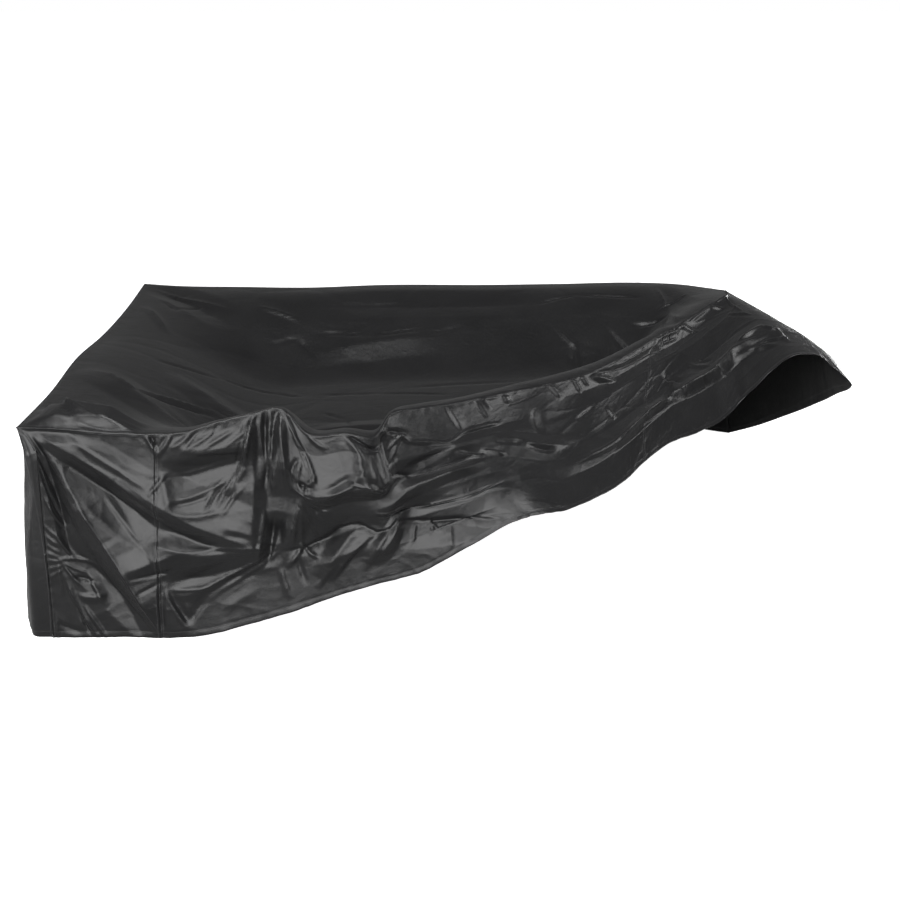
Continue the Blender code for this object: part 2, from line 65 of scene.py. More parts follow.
# The walls from the seam at the front left corner, along the front, over the right rim and back along
# its outside. A row is one section: its point on the top seam, the point where it bends, its
# point on the hem, and how far from the bend the bend reaches.
Section = namedtuple("Section", "seam_x seam_y seam_z knee_x knee_y knee_z hem_x hem_y hem_z bend")
SECTIONS = [
    Section(LEFT, FRONT, 0.705, -1.308, -1.065, 0.640, -1.308, -1.095, 0.000, 0.03),
    Section(-1.230, -1.045, 0.700, -1.210, -1.070, 0.36, -1.200, -1.098, 0.000, 0.20),
    Section(-1.090, -1.045, 0.688, -1.080, -1.075, 0.36, -1.070, -1.100, 0.000, 0.20),
    Section(-0.940, -1.045, 0.680, -0.950, -1.085, 0.36, -0.955, -1.105, 0.000, 0.20),
    Section(-0.850, -1.040, 0.684, -0.850, -1.075, 0.36, -0.840, -1.090, 0.003, 0.20),
    Section(-0.750, -1.030, 0.712, -0.730, -1.070, 0.38, -0.700, -1.075, 0.034, 0.20),
    Section(-0.640, -1.015, 0.735, -0.620, -1.070, 0.40, -0.590, -1.065, 0.064, 0.20),
    Section(-0.545, -1.000, 0.746, -0.530, -1.070, 0.42, -0.490, -1.060, 0.095, 0.20),
    Section(-0.450, -1.035, 0.668, -0.430, -1.075, 0.40, -0.390, -1.060, 0.130, 0.20),
    Section(-0.345, -1.035, 0.672, -0.320, -1.080, 0.41, -0.290, -1.060, 0.165, 0.20),
    Section(-0.255, -1.020, 0.655, -0.220, -1.080, 0.40, -0.180, -1.050, 0.192, 0.20),
    Section(-0.200, -0.900, 0.694, -0.150, -1.065, 0.42, -0.105, -1.040, 0.210, 0.20),
    Section(-0.104, -0.814, 0.688, -0.060, -1.040, 0.44, -0.006, -1.038, 0.260, 0.20),
    Section(0.015, -0.728, 0.678, 0.050, -1.000, 0.46, 0.105, -1.037, 0.315, 0.20),
    Section(0.140, -0.621, 0.670, 0.150, -0.930, 0.47, 0.203, -1.024, 0.365, 0.20),
    Section(0.253, -0.516, 0.660, 0.230, -0.830, 0.48, 0.290, -1.015, 0.384, 0.20),
    Section(0.353, -0.438, 0.655, 0.320, -0.740, 0.48, 0.377, -0.982, 0.385, 0.20),
    Section(0.470, -0.338, 0.652, 0.410, -0.640, 0.49, 0.461, -0.915, 0.390, 0.20),
    Section(0.558, -0.255, 0.655, 0.490, -0.570, 0.50, 0.531, -0.846, 0.395, 0.20),
    Section(0.692, -0.093, 0.665, 0.600, -0.430, 0.52, 0.605, -0.758, 0.405, 0.20),
    Section(0.842, 0.107, 0.685, 0.740, -0.270, 0.54, 0.690, -0.620, 0.420, 0.20),
    Section(0.952, 0.246, 0.700, 0.860, -0.130, 0.56, 0.809, -0.468, 0.440, 0.20),
    Section(1.061, 0.383, 0.722, 0.980, 0.000, 0.59, 0.935, -0.373, 0.450, 0.20),
    Section(1.166, 0.520, 0.742, 1.100, 0.120, 0.64, 1.070, -0.262, 0.480, 0.18),
    Section(1.232, 0.590, 0.757, 1.185, 0.170, 0.69, 1.143, -0.212, 0.540, 0.15),
    Section(1.242, 0.617, 0.753, 1.235, 0.200, 0.73, 1.180, -0.235, 0.590, 0.12),
    Section(1.250, 0.644, 0.749, 1.285, 0.200, 0.745, 1.235, -0.223, 0.645, 0.12),
    Section(1.257, 0.671, 0.745, 1.320, 0.200, 0.745, 1.287, -0.254, 0.700, 0.12),
    Section(1.263, 0.698, 0.741, 1.355, 0.180, 0.738, 1.330, -0.262, 0.715, 0.10),
    Section(1.268, 0.725, 0.737, 1.385, 0.100, 0.730, 1.372, -0.290, 0.718, 0.10),
    Section(1.273, 0.752, 0.733, 1.412, -0.020, 0.724, 1.387, -0.450, 0.717, 0.08),
    Section(1.278, 0.779, 0.729, 1.436, -0.280, 0.714, 1.394, -0.637, 0.712, 0.06),
    Section(1.283, 0.803, 0.725, 1.437, -0.180, 0.712, 1.440, -0.340, 0.580, 0.04),
    Section(1.287, 0.827, 0.722, 1.420, 0.020, 0.710, 1.445, -0.010, 0.430, 0.04),
    Section(1.291, 0.851, 0.719, 1.385, 0.360, 0.710, 1.440, 0.330, 0.280, 0.04),
    Section(1.295, 0.875, 0.716, 1.335, 0.700, 0.700, 1.425, 0.670, 0.130, 0.04),
    Section(1.300, 0.900, 0.712, 1.3085, 0.907, 0.640, 1.385, 0.970, 0.000, 0.04),
]

# Sections where one panel is sewn to the next, and where the top panel turns back
CORNER_PANEL_END = 3
FRONT_PANEL_END = 20
THROWN_BACK_CORNER = 24

# The seam and hem lines round the rest of the cover
Place = namedtuple("Place", "x y z")
LEFT_TOP_SEAM = [
    Place(LEFT, FRONT, 0.705),
    Place(-1.365, -0.67, 0.705),
    Place(-1.378, -0.21, 0.712),
    Place(-1.368, 0.16, 0.704),
    Place(-1.366, 0.65, 0.710),
    Place(LEFT, BACK, 0.728),
]
LEFT_MIDDLE = [
    Place(-1.308, -1.080, 0.36),
    Place(-1.362, -1.072, 0.36),
    Place(-1.385, -1.020, 0.36),
    Place(-1.390, -0.60, 0.36),
    Place(-1.398, 0.00, 0.36),
    Place(-1.386, 0.60, 0.36),
    Place(-1.3875, 1.0525, 0.364),
]
LEFT_HEM = [
    Place(-1.308, -1.095, 0.0),
    Place(-1.370, -1.085, 0.0),
    Place(-1.400, -1.030, 0.0),
    Place(-1.410, -0.50, 0.0),
    Place(-1.396, 0.20, 0.0),
    Place(-1.405, 1.065, 0.0),
]
BACK_TOP_SEAM = [
    Place(LEFT, BACK, 0.728),
    Place(-1.22, 1.045, 0.716),
    Place(-0.93, BACK, 0.711),
    Place(-0.62, BACK, 0.706),
    Place(-0.26, 1.043, 0.716),
    Place(0.20, BACK, 0.714),
    Place(0.56, 1.044, 0.716),
    Place(0.90, 1.045, 0.720),
    Place(1.10, 1.025, 0.716),
    Place(1.300, 0.900, 0.712),
]
BACK_HEM = [
    Place(-1.405, 1.065, 0.0),
    Place(-0.70, 1.085, 0.0),
    Place(0.10, 1.068, 0.0),
    Place(0.80, 1.085, 0.0),
    Place(1.20, 1.060, 0.0),
    Place(1.385, 0.970, 0.0),
]

# The top panel sags between the rims. A slope runs from where it starts to where it is full, in
# metres from that edge.
SAG_DEPTH = 0.24
Slope = namedtuple("Slope", "start full")
LEFT_SLOPE = Slope(0.05, 0.75)
BACK_SLOPE = Slope(0.07, 0.80)
FRONT_SLOPE = Slope(0.0, 0.50)
RIGHT_SLOPE = Slope(0.0, 0.50)
# The front seam's dips die out behind it. The higher this power, the sooner.
HEIGHT_FADE = 6

# A fold is a straight crest (height above 0) or trough (below 0). It slopes away over one width on the
# side nearer the top seam, or nearer the back, and over the other width on the other side, and it
# fades towards its ends. On the walls a place is metres along them and metres down from the top
# seam, on the top panel it is x and y.
Fold = namedtuple("Fold", "start_across start_down end_across end_down near_width far_width height")
WALL_FOLDS = [
    # From the front left corner down to the right
    Fold(0.00, -0.020, 0.44, 0.285, 0.10, 0.05, 0.036),
    Fold(0.28, 0.155, 0.74, 0.470, 0.12, 0.05, 0.038),
    Fold(0.00, 0.015, 0.45, 0.375, 0.05, 0.10, -0.026),
    Fold(0.34, 0.290, 0.74, 0.490, 0.04, 0.04, -0.012),
    Fold(0.03, -0.005, 0.22, 0.370, 0.10, 0.06, 0.036),
    Fold(0.15, 0.235, 0.42, 0.740, 0.10, 0.07, 0.036),
    Fold(0.05, 0.020, 0.10, 0.450, 0.05, 0.04, -0.022),
    Fold(0.08, 0.370, 0.40, 0.730, 0.06, 0.07, -0.024),
    Fold(0.26, 0.480, 0.48, 0.395, 0.06, 0.05, 0.018),
    # Between the front seam and the peak
    Fold(0.40, 0.030, 0.78, 0.125, 0.06, 0.06, 0.014),
    Fold(0.36, 0.150, 0.78, 0.145, 0.06, 0.08, -0.022),
    Fold(0.34, 0.372, 0.80, 0.490, 0.06, 0.09, 0.030),
    Fold(0.38, 0.510, 0.78, 0.510, 0.05, 0.05, -0.014),
    Fold(0.42, 0.575, 0.82, 0.470, 0.05, 0.04, 0.014),
    Fold(0.40, 0.740, 0.96, 0.715, 0.17, 0.06, 0.034),
    Fold(0.730, 0.150, 0.690, 0.500, 0.05, 0.12, 0.020),
    Fold(0.74, -0.020, 0.69, 0.220, 0.04, 0.03, 0.022),
    Fold(0.79, -0.020, 0.765, 0.380, 0.05, 0.05, -0.018),
    Fold(0.785, 0.350, 0.735, 0.540, 0.05, 0.035, -0.030),
    Fold(0.845, -0.040, 0.795, 0.300, 0.10, 0.04, 0.028),
    Fold(0.92, 0.240, 0.81, 0.500, 0.05, 0.05, 0.022),
    # The patch that hangs over, and the hem band below it
    Fold(0.82, 0.262, 1.26, 0.215, 0.16, 0.07, 0.046),
    Fold(1.08, -0.020, 1.13, 0.260, 0.05, 0.07, 0.018),
    Fold(1.21, 0.000, 1.22, 0.270, 0.05, 0.05, -0.022),
    Fold(0.84, 0.500, 1.14, 0.420, 0.13, 0.08, -0.030),
    Fold(1.10, 0.430, 1.74, 0.700, 0.12, 0.10, -0.032),
    Fold(1.09, 0.400, 0.91, 0.620, 0.06, 0.05, 0.022),
    Fold(1.25, 0.410, 1.08, 0.610, 0.05, 0.05, 0.022),
    Fold(0.76, 0.725, 1.66, 0.750, 0.16, 0.06, 0.034),
    # Long soft folds towards the thrown-back corner
    Fold(1.20, 0.185, 1.90, 0.170, 0.18, 0.06, -0.016),
    Fold(1.15, 0.280, 1.70, 0.315, 0.08, 0.05, -0.022),
    Fold(1.12, 0.345, 1.60, 0.365, 0.05, 0.04, 0.022),
    Fold(1.10, 0.400, 1.75, 0.510, 0.05, 0.05, -0.020),
    Fold(1.60, 0.270, 2.05, 0.400, 0.07, 0.07, 0.018),
    Fold(1.90, 0.090, 3.20, 0.100, 0.09, 0.10, -0.022),
    Fold(1.90, 0.505, 2.55, 0.490, 0.10, 0.05, 0.022),
    Fold(2.25, 0.500, 2.75, 0.460, 0.10, 0.05, 0.022),
    Fold(2.60, 0.450, 3.35, 0.480, 0.12, 0.05, 0.036),
]
TOP_FOLDS = [
    Fold(-1.36, -0.880, -0.98, -0.960, 0.20, 0.08, 0.060),
    Fold(-1.32, 1.000, -0.90, 0.600, 0.10, 0.12, -0.026),
    Fold(-1.05, -0.120, -0.62, -0.420, 0.10, 0.10, 0.020),
    Fold(-1.32, -0.360, -0.82, -0.700, 0.10, 0.10, 0.020),
    Fold(-0.70, 0.800, 0.60, 0.820, 0.10, 0.12, -0.018),
    Fold(-0.60, 0.500, 0.05, 0.600, 0.10, 0.12, 0.020),
    Fold(-0.65, -0.430, 0.15, -0.330, 0.12, 0.12, 0.024),
    Fold(0.52, 0.520, 0.72, 0.100, 0.08, 0.12, -0.022),
    Fold(0.74, 0.550, 0.80, 0.120, 0.08, 0.08, -0.018),
    Fold(0.80, 0.480, 1.00, 0.240, 0.08, 0.08, -0.012),
    Fold(1.00, 0.980, 1.10, 0.520, 0.06, 0.06, -0.010),
]
# How much of a fold's length it fades over at each end
FOLD_END_SHARE = 0.3

# Creases are the finer relief that only the finished cloth has. They are measured like the folds, but
# in millimetres, and their sides are a little hollow. A row's bow is how far its middle stands off
# the straight line, down on the walls and forward on the top.
CREASE_SHARPNESS = 1.2
MILLIMETRES_IN_A_METRE = 1000
Crease = namedtuple("Crease", "start_across start_down end_across end_down bow near_width far_width height")


def crease_rows(*rows):
    """The creases of a table whose rows are in millimetres."""
    return [Crease(*(value / MILLIMETRES_IN_A_METRE for value in row)) for row in rows]


CORNER_CREASES = crease_rows(
    # The sharp edges of the long folds that run down from the front left corner
    (0, -20, 440, 285, 0, 100, 50, -30),
    (0, 15, 450, 375, 0, 50, 110, -8),
    (110, 5, 400, 200, 2, 10, 16, 5),
    (10, -10, 250, 150, 0, 12, 6, 4),
    (180, 100, 450, 290, 0, 12, 6, 3.5),
    (190, 105, 310, 172, 0, 8, 10, 2.5),
    (40, 20, 135, 220, 6, 10, 10, 5),
    (120, 180, 300, 510, 4, 12, 8, 4),
    (240, 400, 420, 740, 0, 12, 8, 4),
    (225, 205, 360, 400, 6, 30, 12, 6),
    (160, 215, 255, 330, 6, 20, 20, 3),
    # The narrow folds beside the corner
    (-20, 70, 85, 330, 6, 12, 10, -9),
    (10, 10, 45, 110, 0, 10, 10, 5),
    (10, 230, 95, 340, 6, 12, 7, 8),
    (45, 350, 115, 445, 4, 14, 7, 8),
    # Puckers that meet beside the corner seam
    (-10, 325, 60, 368, 0, 7, 7, 4.5),
    (-10, 357, 60, 395, 0, 7, 6, 4.5),
    (-10, 389, 62, 418, 0, 6, 7, 4.5),
    (-10, 418, 65, 435, 0, 6, 6, 4),
    (-10, 450, 70, 442, 0, 7, 6, 4.5),
    (-10, 482, 70, 454, 0, 6, 7, 4.5),
    (-10, 516, 70, 466, 0, 7, 7, 4),
    (40, 440, 190, 462, -14, 6, 9, 8),
    (50, 440, 165, 492, 2, 6, 8, 6.5),
    (55, 440, 135, 535, 4, 7, 8, 6),
    (45, 445, 55, 570, 0, 10, 8, 5),
    (90, 495, 185, 525, -2, 12, 8, -8),
    (150, 480, 205, 605, 4, 30, 10, 11),
    (105, 560, 205, 565, 4, 12, 24, 7),
    (60, 480, 180, 730, 8, 18, 12, 10),
    (90, 540, 145, 710, 4, 12, 10, -8),
    (120, 580, 200, 725, 0, 12, 10, 8),
    (16, 630, 20, 720, 0, 10, 8, 6),
    (20, 660, 120, 695, 0, 14, 20, -6),
    # Beside the seam between the corner and the front panel
    (290, 492, 440, 475, 0, 14, 8, -8),
    (320, 545, 400, 510, 0, 8, 10, -6),
    (404, 470, 404, 730, 4, 12, 16, -14),
    (399, 65, 396, 185, -3, 5, 10, -8),
)
FRONT_CREASES = crease_rows(
    # Puckers at the top of the panel seam, and the flat panel that is tucked in beside it
    (355, -20, 408, 78, 4, 14, 8, 10),
    (395, 78, 455, -10, 4, 10, 12, 10),
    (375, -10, 402, 50, 2, 8, 7, -8),
    (398, 45, 425, -10, 0, 8, 8, 7),
    (445, 50, 540, -5, 4, 12, 12, 7),
    (490, 60, 560, 0, 0, 10, 8, -6),
    (425, 142, 720, 142, 0, 6, 16, 4.5),
    (370, 205, 430, 130, 0, 12, 10, 9),
    (415, 130, 440, 265, 0, 30, 20, 8),
    (480, 60, 720, 118, 6, 20, 8, 5),
    (510, 55, 640, 20, 2, 10, 10, 5),
    (560, 75, 690, 35, 2, 12, 10, 6),
    (600, 50, 640, -5, 0, 10, 10, -5),
    (640, 90, 715, 50, 0, 10, 10, 5),
    (420, 218, 660, 205, 6, 20, 8, 6),
    (430, 235, 600, 232, 2, 8, 12, -5),
    (415, 250, 650, 300, 10, 12, 18, 5),
    (545, 285, 640, 190, -12, 8, 6, 7),
    (565, 290, 665, 190, -8, 6, 8, -6),
    (590, 295, 685, 175, -6, 7, 7, 7),
    (615, 290, 700, 190, 0, 7, 7, -6),
    (610, 315, 700, 225, -4, 7, 10, 6),
    # The long facet that ends in a point, and the dark panel under it
    (360, 370, 620, 427, 4, 12, 6, 5),
    (520, 404, 800, 472, 0, 14, 6, 6),
    (600, 345, 740, 440, -10, 30, 16, 6),
    (705, 500, 752, 330, 6, 14, 10, 9),
    (420, 540, 560, 548, 0, 12, 10, 6),
    (500, 552, 760, 483, 4, 12, 8, 6),
    (500, 580, 840, 465, 4, 14, 30, -6),
    (500, 600, 860, 455, 6, 16, 14, 6),
    (416, 545, 480, 668, 2, 30, 12, -6),
    (470, 668, 535, 575, 2, 30, 12, -7),
    (412, 535, 475, 690, 2, 6, 12, 7),
    (468, 585, 482, 655, 0, 8, 8, 5),
    (560, 640, 700, 600, 0, 30, 30, 4),
    # Narrow upright folds under the peak
    (745, -10, 688, 200, 4, 10, 8, 13),
    (725, 30, 672, 190, 6, 10, 12, -12),
    (700, 170, 655, 260, 4, 12, 10, 8),
    (768, -10, 762, 180, 4, 10, 10, 9),
    (785, 0, 772, 160, 4, 8, 8, -11),
    (800, -10, 782, 200, 4, 9, 9, 12),
    (826, -10, 785, 185, 4, 10, 10, -11),
    (812, 110, 752, 270, 4, 10, 12, -7),
    (800, 190, 785, 290, 0, 8, 8, 8),
    (760, -10, 720, 50, 0, 8, 8, 7),
    (790, -20, 765, 380, 0, 50, 50, 10),
    (790, 400, 735, 545, -6, 14, 10, 8),
)
PATCH_CREASES = crease_rows(
    # The facets that hang over beside the peak
    (820, -20, 940, 120, -8, 8, 20, 10),
    (925, 85, 958, 220, -6, 10, 14, 11),
    (890, 50, 945, 170, -6, 6, 6, -6),
    (880, 55, 935, 165, -6, 6, 6, 6),
    (830, 0, 842, 280, 4, 30, 10, 12),
    (900, 130, 862, 210, 4, 8, 7, -11),
    (872, 190, 860, 275, 0, 6, 6, -9),
    (910, 130, 885, 260, 6, 10, 6, 8),
    (850, 200, 842, 280, 0, 6, 6, -8),
    (885, 232, 945, 205, 4, 16, 18, -13),
    (965, 160, 915, 280, 14, 10, 8, 13),
    (975, 230, 1080, 170, 4, 20, 18, -7),
    (850, 268, 990, 268, 2, 14, 5, 7),
    (950, 275, 1095, 208, 2, 18, 5, 8),
    (1060, 208, 1125, 222, 0, 14, 6, 7),
    (1105, 195, 1172, 280, 2, 14, 6, 12),
    (1155, 280, 1220, 205, 4, 18, 5, 14),
    (1125, 185, 1165, 262, 0, 8, 6, -10),
    (1045, 0, 1115, 120, -12, 10, 20, 8),
    (1100, 80, 1110, 230, 4, 16, 24, 8),
    (1050, 230, 1120, 130, 6, 10, 10, 6),
    (1135, 80, 1155, 250, 4, 12, 12, -6),
    (930, -10, 1000, 60, 0, 12, 14, 7),
    (1060, 0, 1200, 75, 4, 14, 10, -14),
    (1110, 60, 1215, 70, 0, 8, 16, 8),
    (1217, 40, 1222, 240, 4, 7, 7, -15),
    (1204, 60, 1206, 240, 4, 6, 10, 9),
    (1180, -20, 1270, 120, -6, 12, 12, 10),
    (1230, 50, 1325, 110, 0, 12, 18, -13),
    (1235, 130, 1310, 105, 0, 8, 18, 9),
    (1310, 100, 1240, 190, 0, 8, 20, 8),
    # Thin creases that fan out below the facets
    (897, 270, 826, 500, 4, 7, 12, 9),
    (905, 265, 860, 500, 4, 6, 10, 8),
    (888, 300, 940, 510, 2, 10, 6, 8),
    (905, 270, 990, 345, 4, 7, 8, 5),
    (895, 280, 965, 385, 4, 7, 8, 5),
    (915, 265, 1010, 310, 4, 7, 8, 4),
    (868, 480, 795, 560, -8, 12, 14, 11),
    (855, 475, 925, 540, 6, 14, 12, 10),
    (840, 500, 860, 640, 6, 16, 16, -7),
    (930, 475, 850, 520, 6, 16, 10, -6),
)
BAND_CREASES = crease_rows(
    # The edge of the light band above the hem, and the folds across it
    (800, 500, 910, 490, 4, 12, 30, -8),
    (890, 490, 1010, 425, 4, 12, 30, -10),
    (985, 430, 1085, 420, 0, 12, 30, -10),
    (1060, 415, 1125, 475, 0, 12, 26, -9),
    (1105, 475, 1225, 440, 4, 12, 30, -10),
    (1200, 440, 1345, 520, 4, 12, 34, -11),
    (1320, 510, 1480, 580, 4, 12, 36, -11),
    (1450, 570, 1620, 680, 4, 14, 36, -10),
    (1118, 468, 955, 640, 6, 12, 30, 10),
    (1190, 425, 1068, 645, 10, 12, 26, 10),
    (778, 525, 800, 670, 4, 12, 20, 7),
    (1300, 500, 1262, 590, 4, 10, 14, 7),
    (1345, 520, 1380, 600, 4, 8, 12, 8),
    (1362, 525, 1340, 600, 0, 8, 10, -6),
    (990, 560, 900, 660, 4, 14, 20, 7),
    (1420, 590, 1400, 680, 4, 14, 20, 6),
    # Long creases from the light band to the thrown-back corner
    (1215, 240, 1330, 308, -4, 10, 10, -8),
    (1300, 302, 1570, 318, 4, 12, 10, -9),
    (1290, 262, 1500, 228, 0, 30, 30, -12),
    (1500, 255, 1620, 332, 6, 14, 16, 10),
    (1600, 292, 1700, 368, 4, 12, 16, 10),
    (1120, 385, 1310, 444, 0, 10, 8, -10),
    (1120, 368, 1300, 424, 0, 10, 8, 8),
    (1280, 436, 1510, 497, 2, 10, 10, -10),
    (1480, 494, 1680, 506, 0, 12, 12, -8),
    (1842, 120, 1862, 280, 0, 30, 20, -10),
    (1660, 278, 1800, 322, 6, 20, 24, -10),
    (1790, 330, 1930, 388, 4, 20, 24, -10),
    (2045, 258, 2150, 222, -6, 16, 16, -8),
    (2220, 262, 2292, 372, 0, 14, 14, 9),
    # The long bright ridge above the thrown-back hem
    (2000, 505, 2340, 512, 3, 30, 10, 8),
    (2290, 510, 2480, 478, 4, 40, 18, 14),
    (2440, 478, 2660, 470, -8, 50, 26, 22),
    (2460, 508, 2640, 502, 0, 10, 10, -6),
    (2700, 452, 3000, 470, 0, 50, 34, 10),
    (2940, 468, 3150, 495, 2, 50, 34, 12),
    (2760, 445, 2800, 500, 0, 10, 10, 5),
    (2880, 455, 2930, 510, 0, 10, 10, -5),
    (3000, 465, 3060, 530, 0, 10, 10, 5),
    (3110, 505, 3200, 520, 0, 20, 14, 12),
    (3180, 515, 3275, 590, 0, 20, 14, 12),
    (2600, 265, 2770, 425, 0, 30, 12, -10),
    (2690, 330, 2700, 480, 0, 50, 14, 12),
    (2800, 290, 2970, 430, 10, 20, 20, 8),
    (2860, 300, 2990, 400, 10, 14, 14, -6),
    # Small creases behind the thrown-back corner
    (3140, 438, 3250, 434, 0, 30, 12, 12),
    (3230, 432, 3305, 500, 0, 20, 12, 12),
    (3296, 480, 3312, 600, 0, 12, 12, 10),
    (3160, 445, 3245, 490, 0, 20, 20, -8),
    (3185, 512, 3320, 565, -4, 14, 10, 10),
)
SEAM_CREASES = crease_rows(
    # The light strip beside the front seam, with its facets and puckers
    (1240, 55, 1335, 150, 0, 20, 12, 8),
    (1310, 140, 1495, 200, 0, 20, 12, 8),
    (1480, 200, 1560, 158, 0, 16, 12, 8),
    (1540, 162, 1720, 170, 0, 20, 14, 10),
    (1486, 5, 1545, 160, 0, 40, 10, 10),
    (1600, 5, 1646, 120, 0, 10, 10, -8),
    (1625, 0, 1665, 80, 0, 10, 10, 6),
    (1615, 14, 1705, 19, 0, 8, 8, 6),
    (1712, 12, 1738, 72, 0, 20, 8, 9),
    (1730, 70, 1855, 38, 4, 40, 10, -12),
    (1890, -5, 1970, 105, 0, 30, 8, 10),
    (2010, 0, 2075, 100, 0, 10, 10, 10),
    (2048, -5, 2110, 75, 0, 10, 10, 10),
    (2105, 15, 2285, 130, 4, 30, 16, 14),
    (2120, 0, 2310, 58, 4, 20, 10, -10),
    (2280, 56, 2520, 70, 2, 30, 10, -10),
    (2490, 68, 2620, 95, 0, 30, 10, -9),
    (2240, 26, 2500, 34, 2, 6, 6, 5),
    (2510, 12, 2720, 38, -6, 10, 12, 8),
    (2580, 52, 2725, 76, 0, 12, 12, 8),
    (2560, 0, 2600, 80, 0, 8, 8, -7),
    (2620, 10, 2670, 80, 0, 8, 8, -6),
    (2690, 0, 2720, 60, 0, 8, 8, 6),
    (2700, -5, 2905, 135, 0, 20, 12, 10),
    (2790, 26, 3000, 20, 0, 16, 14, 8),
    (3000, 18, 3098, 98, 0, 12, 12, 10),
    (3018, 22, 3140, 8, 0, 10, 10, 8),
    (3122, 8, 3196, 230, -4, 12, 12, 10),
    (3115, 158, 3228, 302, 0, 10, 10, 8),
)
WALL_CREASES = CORNER_CREASES + FRONT_CREASES + PATCH_CREASES + BAND_CREASES + SEAM_CREASES
TOP_CREASES = crease_rows(
    # Behind the front left corner, where the top panel bulges over its seam
    (-1309, -790, -1188, -1023, -4, 30, 8, 15),
    (-1200, -1005, -1040, -1042, -4, 20, 12, 9),
    (-1335, -990, -1312, -790, 0, 20, 20, 8),
    (-1290, -860, -1136, -1000, -4, 10, 14, -8),
    (-1150, -990, -990, -1030, 0, 10, 12, -7),
    # Long creases down the left slope
    (-1270, -375, -1090, -500, 0, 14, 14, -10),
    (-1130, -500, -840, -365, 10, 16, 16, 10),
    (-1120, -460, -850, -330, 10, 14, 12, -8),
    (-1020, -520, -780, -720, 0, 16, 20, 6),
    (-900, -300, -640, -425, 6, 14, 16, 8),
    (-1130, -45, -890, 80, 0, 14, 14, 7),
    (-920, 90, -650, 150, 0, 14, 12, 8),
    (-690, 150, -575, 100, 0, 12, 12, 9),
    (-530, 120, -250, 92, 0, 14, 12, 6),
    (-300, 100, 40, 50, 0, 14, 12, 8),
    # From the back left corner
    (-1330, 975, -925, 740, 0, 16, 18, -12),
    (-1300, 660, -1150, 350, 10, 20, 24, -12),
    (-1245, 790, -1160, 655, 0, 14, 14, 8),
    (-1175, 655, -1060, 825, 0, 14, 14, 8),
    (-840, 800, -610, 705, 6, 16, 18, -11),
    # Along the back slope
    (-620, 822, -150, 814, 4, 12, 12, 7),
    (-765, 538, -625, 608, 6, 12, 12, 8),
    (-640, 612, -530, 462, 0, 12, 12, 8),
    (-570, 636, -280, 584, 4, 14, 12, 9),
    (-310, 584, -60, 622, 4, 14, 12, 10),
    (-105, 580, 95, 658, 0, 12, 12, 6),
    (425, 802, 620, 865, 6, 12, 14, 9),
    (590, 868, 910, 822, 4, 12, 14, 9),
    # Down the right slope, in front of the thrown-back corner
    (500, 645, 590, 500, 0, 16, 16, -12),
    (575, 520, 565, 300, 0, 20, 20, -10),
    (706, 655, 672, 250, 10, 14, 16, -12),
    (722, 635, 860, 360, 0, 20, 14, 12),
    (990, 930, 1006, 650, 0, 10, 10, -9),
    (1006, 670, 970, 300, 0, 14, 14, -10),
    (1110, 812, 965, 700, 0, 10, 10, -9),
    (830, 648, 990, 608, 0, 20, 20, 10),
    (985, 615, 910, 370, 0, 16, 16, 8),
    # Beside the patch that hangs over the front, and across the floor of the sag
    (-480, -145, -375, -262, 0, 10, 10, 7),
    (-385, -250, -345, -390, 0, 10, 10, 7),
    (-200, 150, 350, 230, 20, 24, 30, 5),
    (50, -250, 420, -50, 10, 20, 24, 6),
)
LEFT_CREASES = crease_rows(
    # Folds that hang from the two top corners
    (30, 30, 450, 500, 30, 50, 60, 16),
    (50, 20, 780, 300, 20, 50, 60, 13),
    (20, 100, 200, 640, 10, 40, 50, 12),
    (2050, 30, 1560, 500, 30, 50, 60, 16),
    (2030, 50, 1800, 680, 20, 40, 50, 12),
    (2020, 20, 1360, 260, 20, 40, 50, 11),
    # Upright folds above the hem
    (620, 200, 580, 760, 20, 60, 50, 13),
    (800, 360, 830, 760, 0, 50, 50, -12),
    (980, 160, 1030, 760, -20, 50, 70, 14),
    (1260, 300, 1230, 760, 10, 60, 60, -12),
    (1480, 400, 1500, 760, 0, 50, 60, 12),
    (1700, 460, 1670, 760, 0, 50, 50, -10),
    # Small creases where it was folded and pulled
    (300, 240, 440, 360, 6, 12, 14, 7),
    (840, 100, 970, 210, 6, 12, 16, 7),
    (1120, 60, 1180, 300, 10, 14, 18, -7),
    (1440, 330, 1600, 240, 6, 12, 14, 7),
    (1080, 520, 1260, 560, 10, 14, 14, 6),
    (420, 540, 560, 480, 6, 12, 14, -7),
    (1860, 240, 1960, 400, 6, 12, 14, 7),
)
BACK_CREASES = crease_rows(
    # Folds that hang from the two top corners
    (40, 30, 520, 500, 30, 50, 60, 16),
    (30, 80, 230, 640, 10, 40, 50, 12),
    (60, 20, 920, 250, 20, 40, 60, 11),
    (2700, 30, 2180, 500, 30, 50, 60, 16),
    (2710, 80, 2500, 660, 10, 40, 50, 12),
    (2680, 20, 1920, 260, 20, 40, 60, 11),
    # Upright folds above the hem
    (740, 300, 710, 760, 10, 60, 60, 13),
    (980, 420, 1000, 760, 0, 50, 60, -12),
    (1330, 120, 1380, 760, -20, 60, 70, 14),
    (1640, 380, 1610, 760, 10, 50, 60, -12),
    (1900, 320, 1930, 760, 0, 60, 60, 13),
    (2360, 440, 2340, 760, 0, 50, 60, -11),
    # Small creases where it was folded and pulled
    (400, 180, 560, 280, 6, 14, 16, 7),
    (860, 140, 1060, 230, 10, 14, 16, 7),
    (1180, 520, 1290, 400, 6, 14, 16, 7),
    (1480, 100, 1560, 300, 10, 16, 18, -7),
    (1760, 480, 1900, 420, 6, 14, 16, 7),
    (2240, 200, 2340, 340, 6, 14, 16, 7),
)


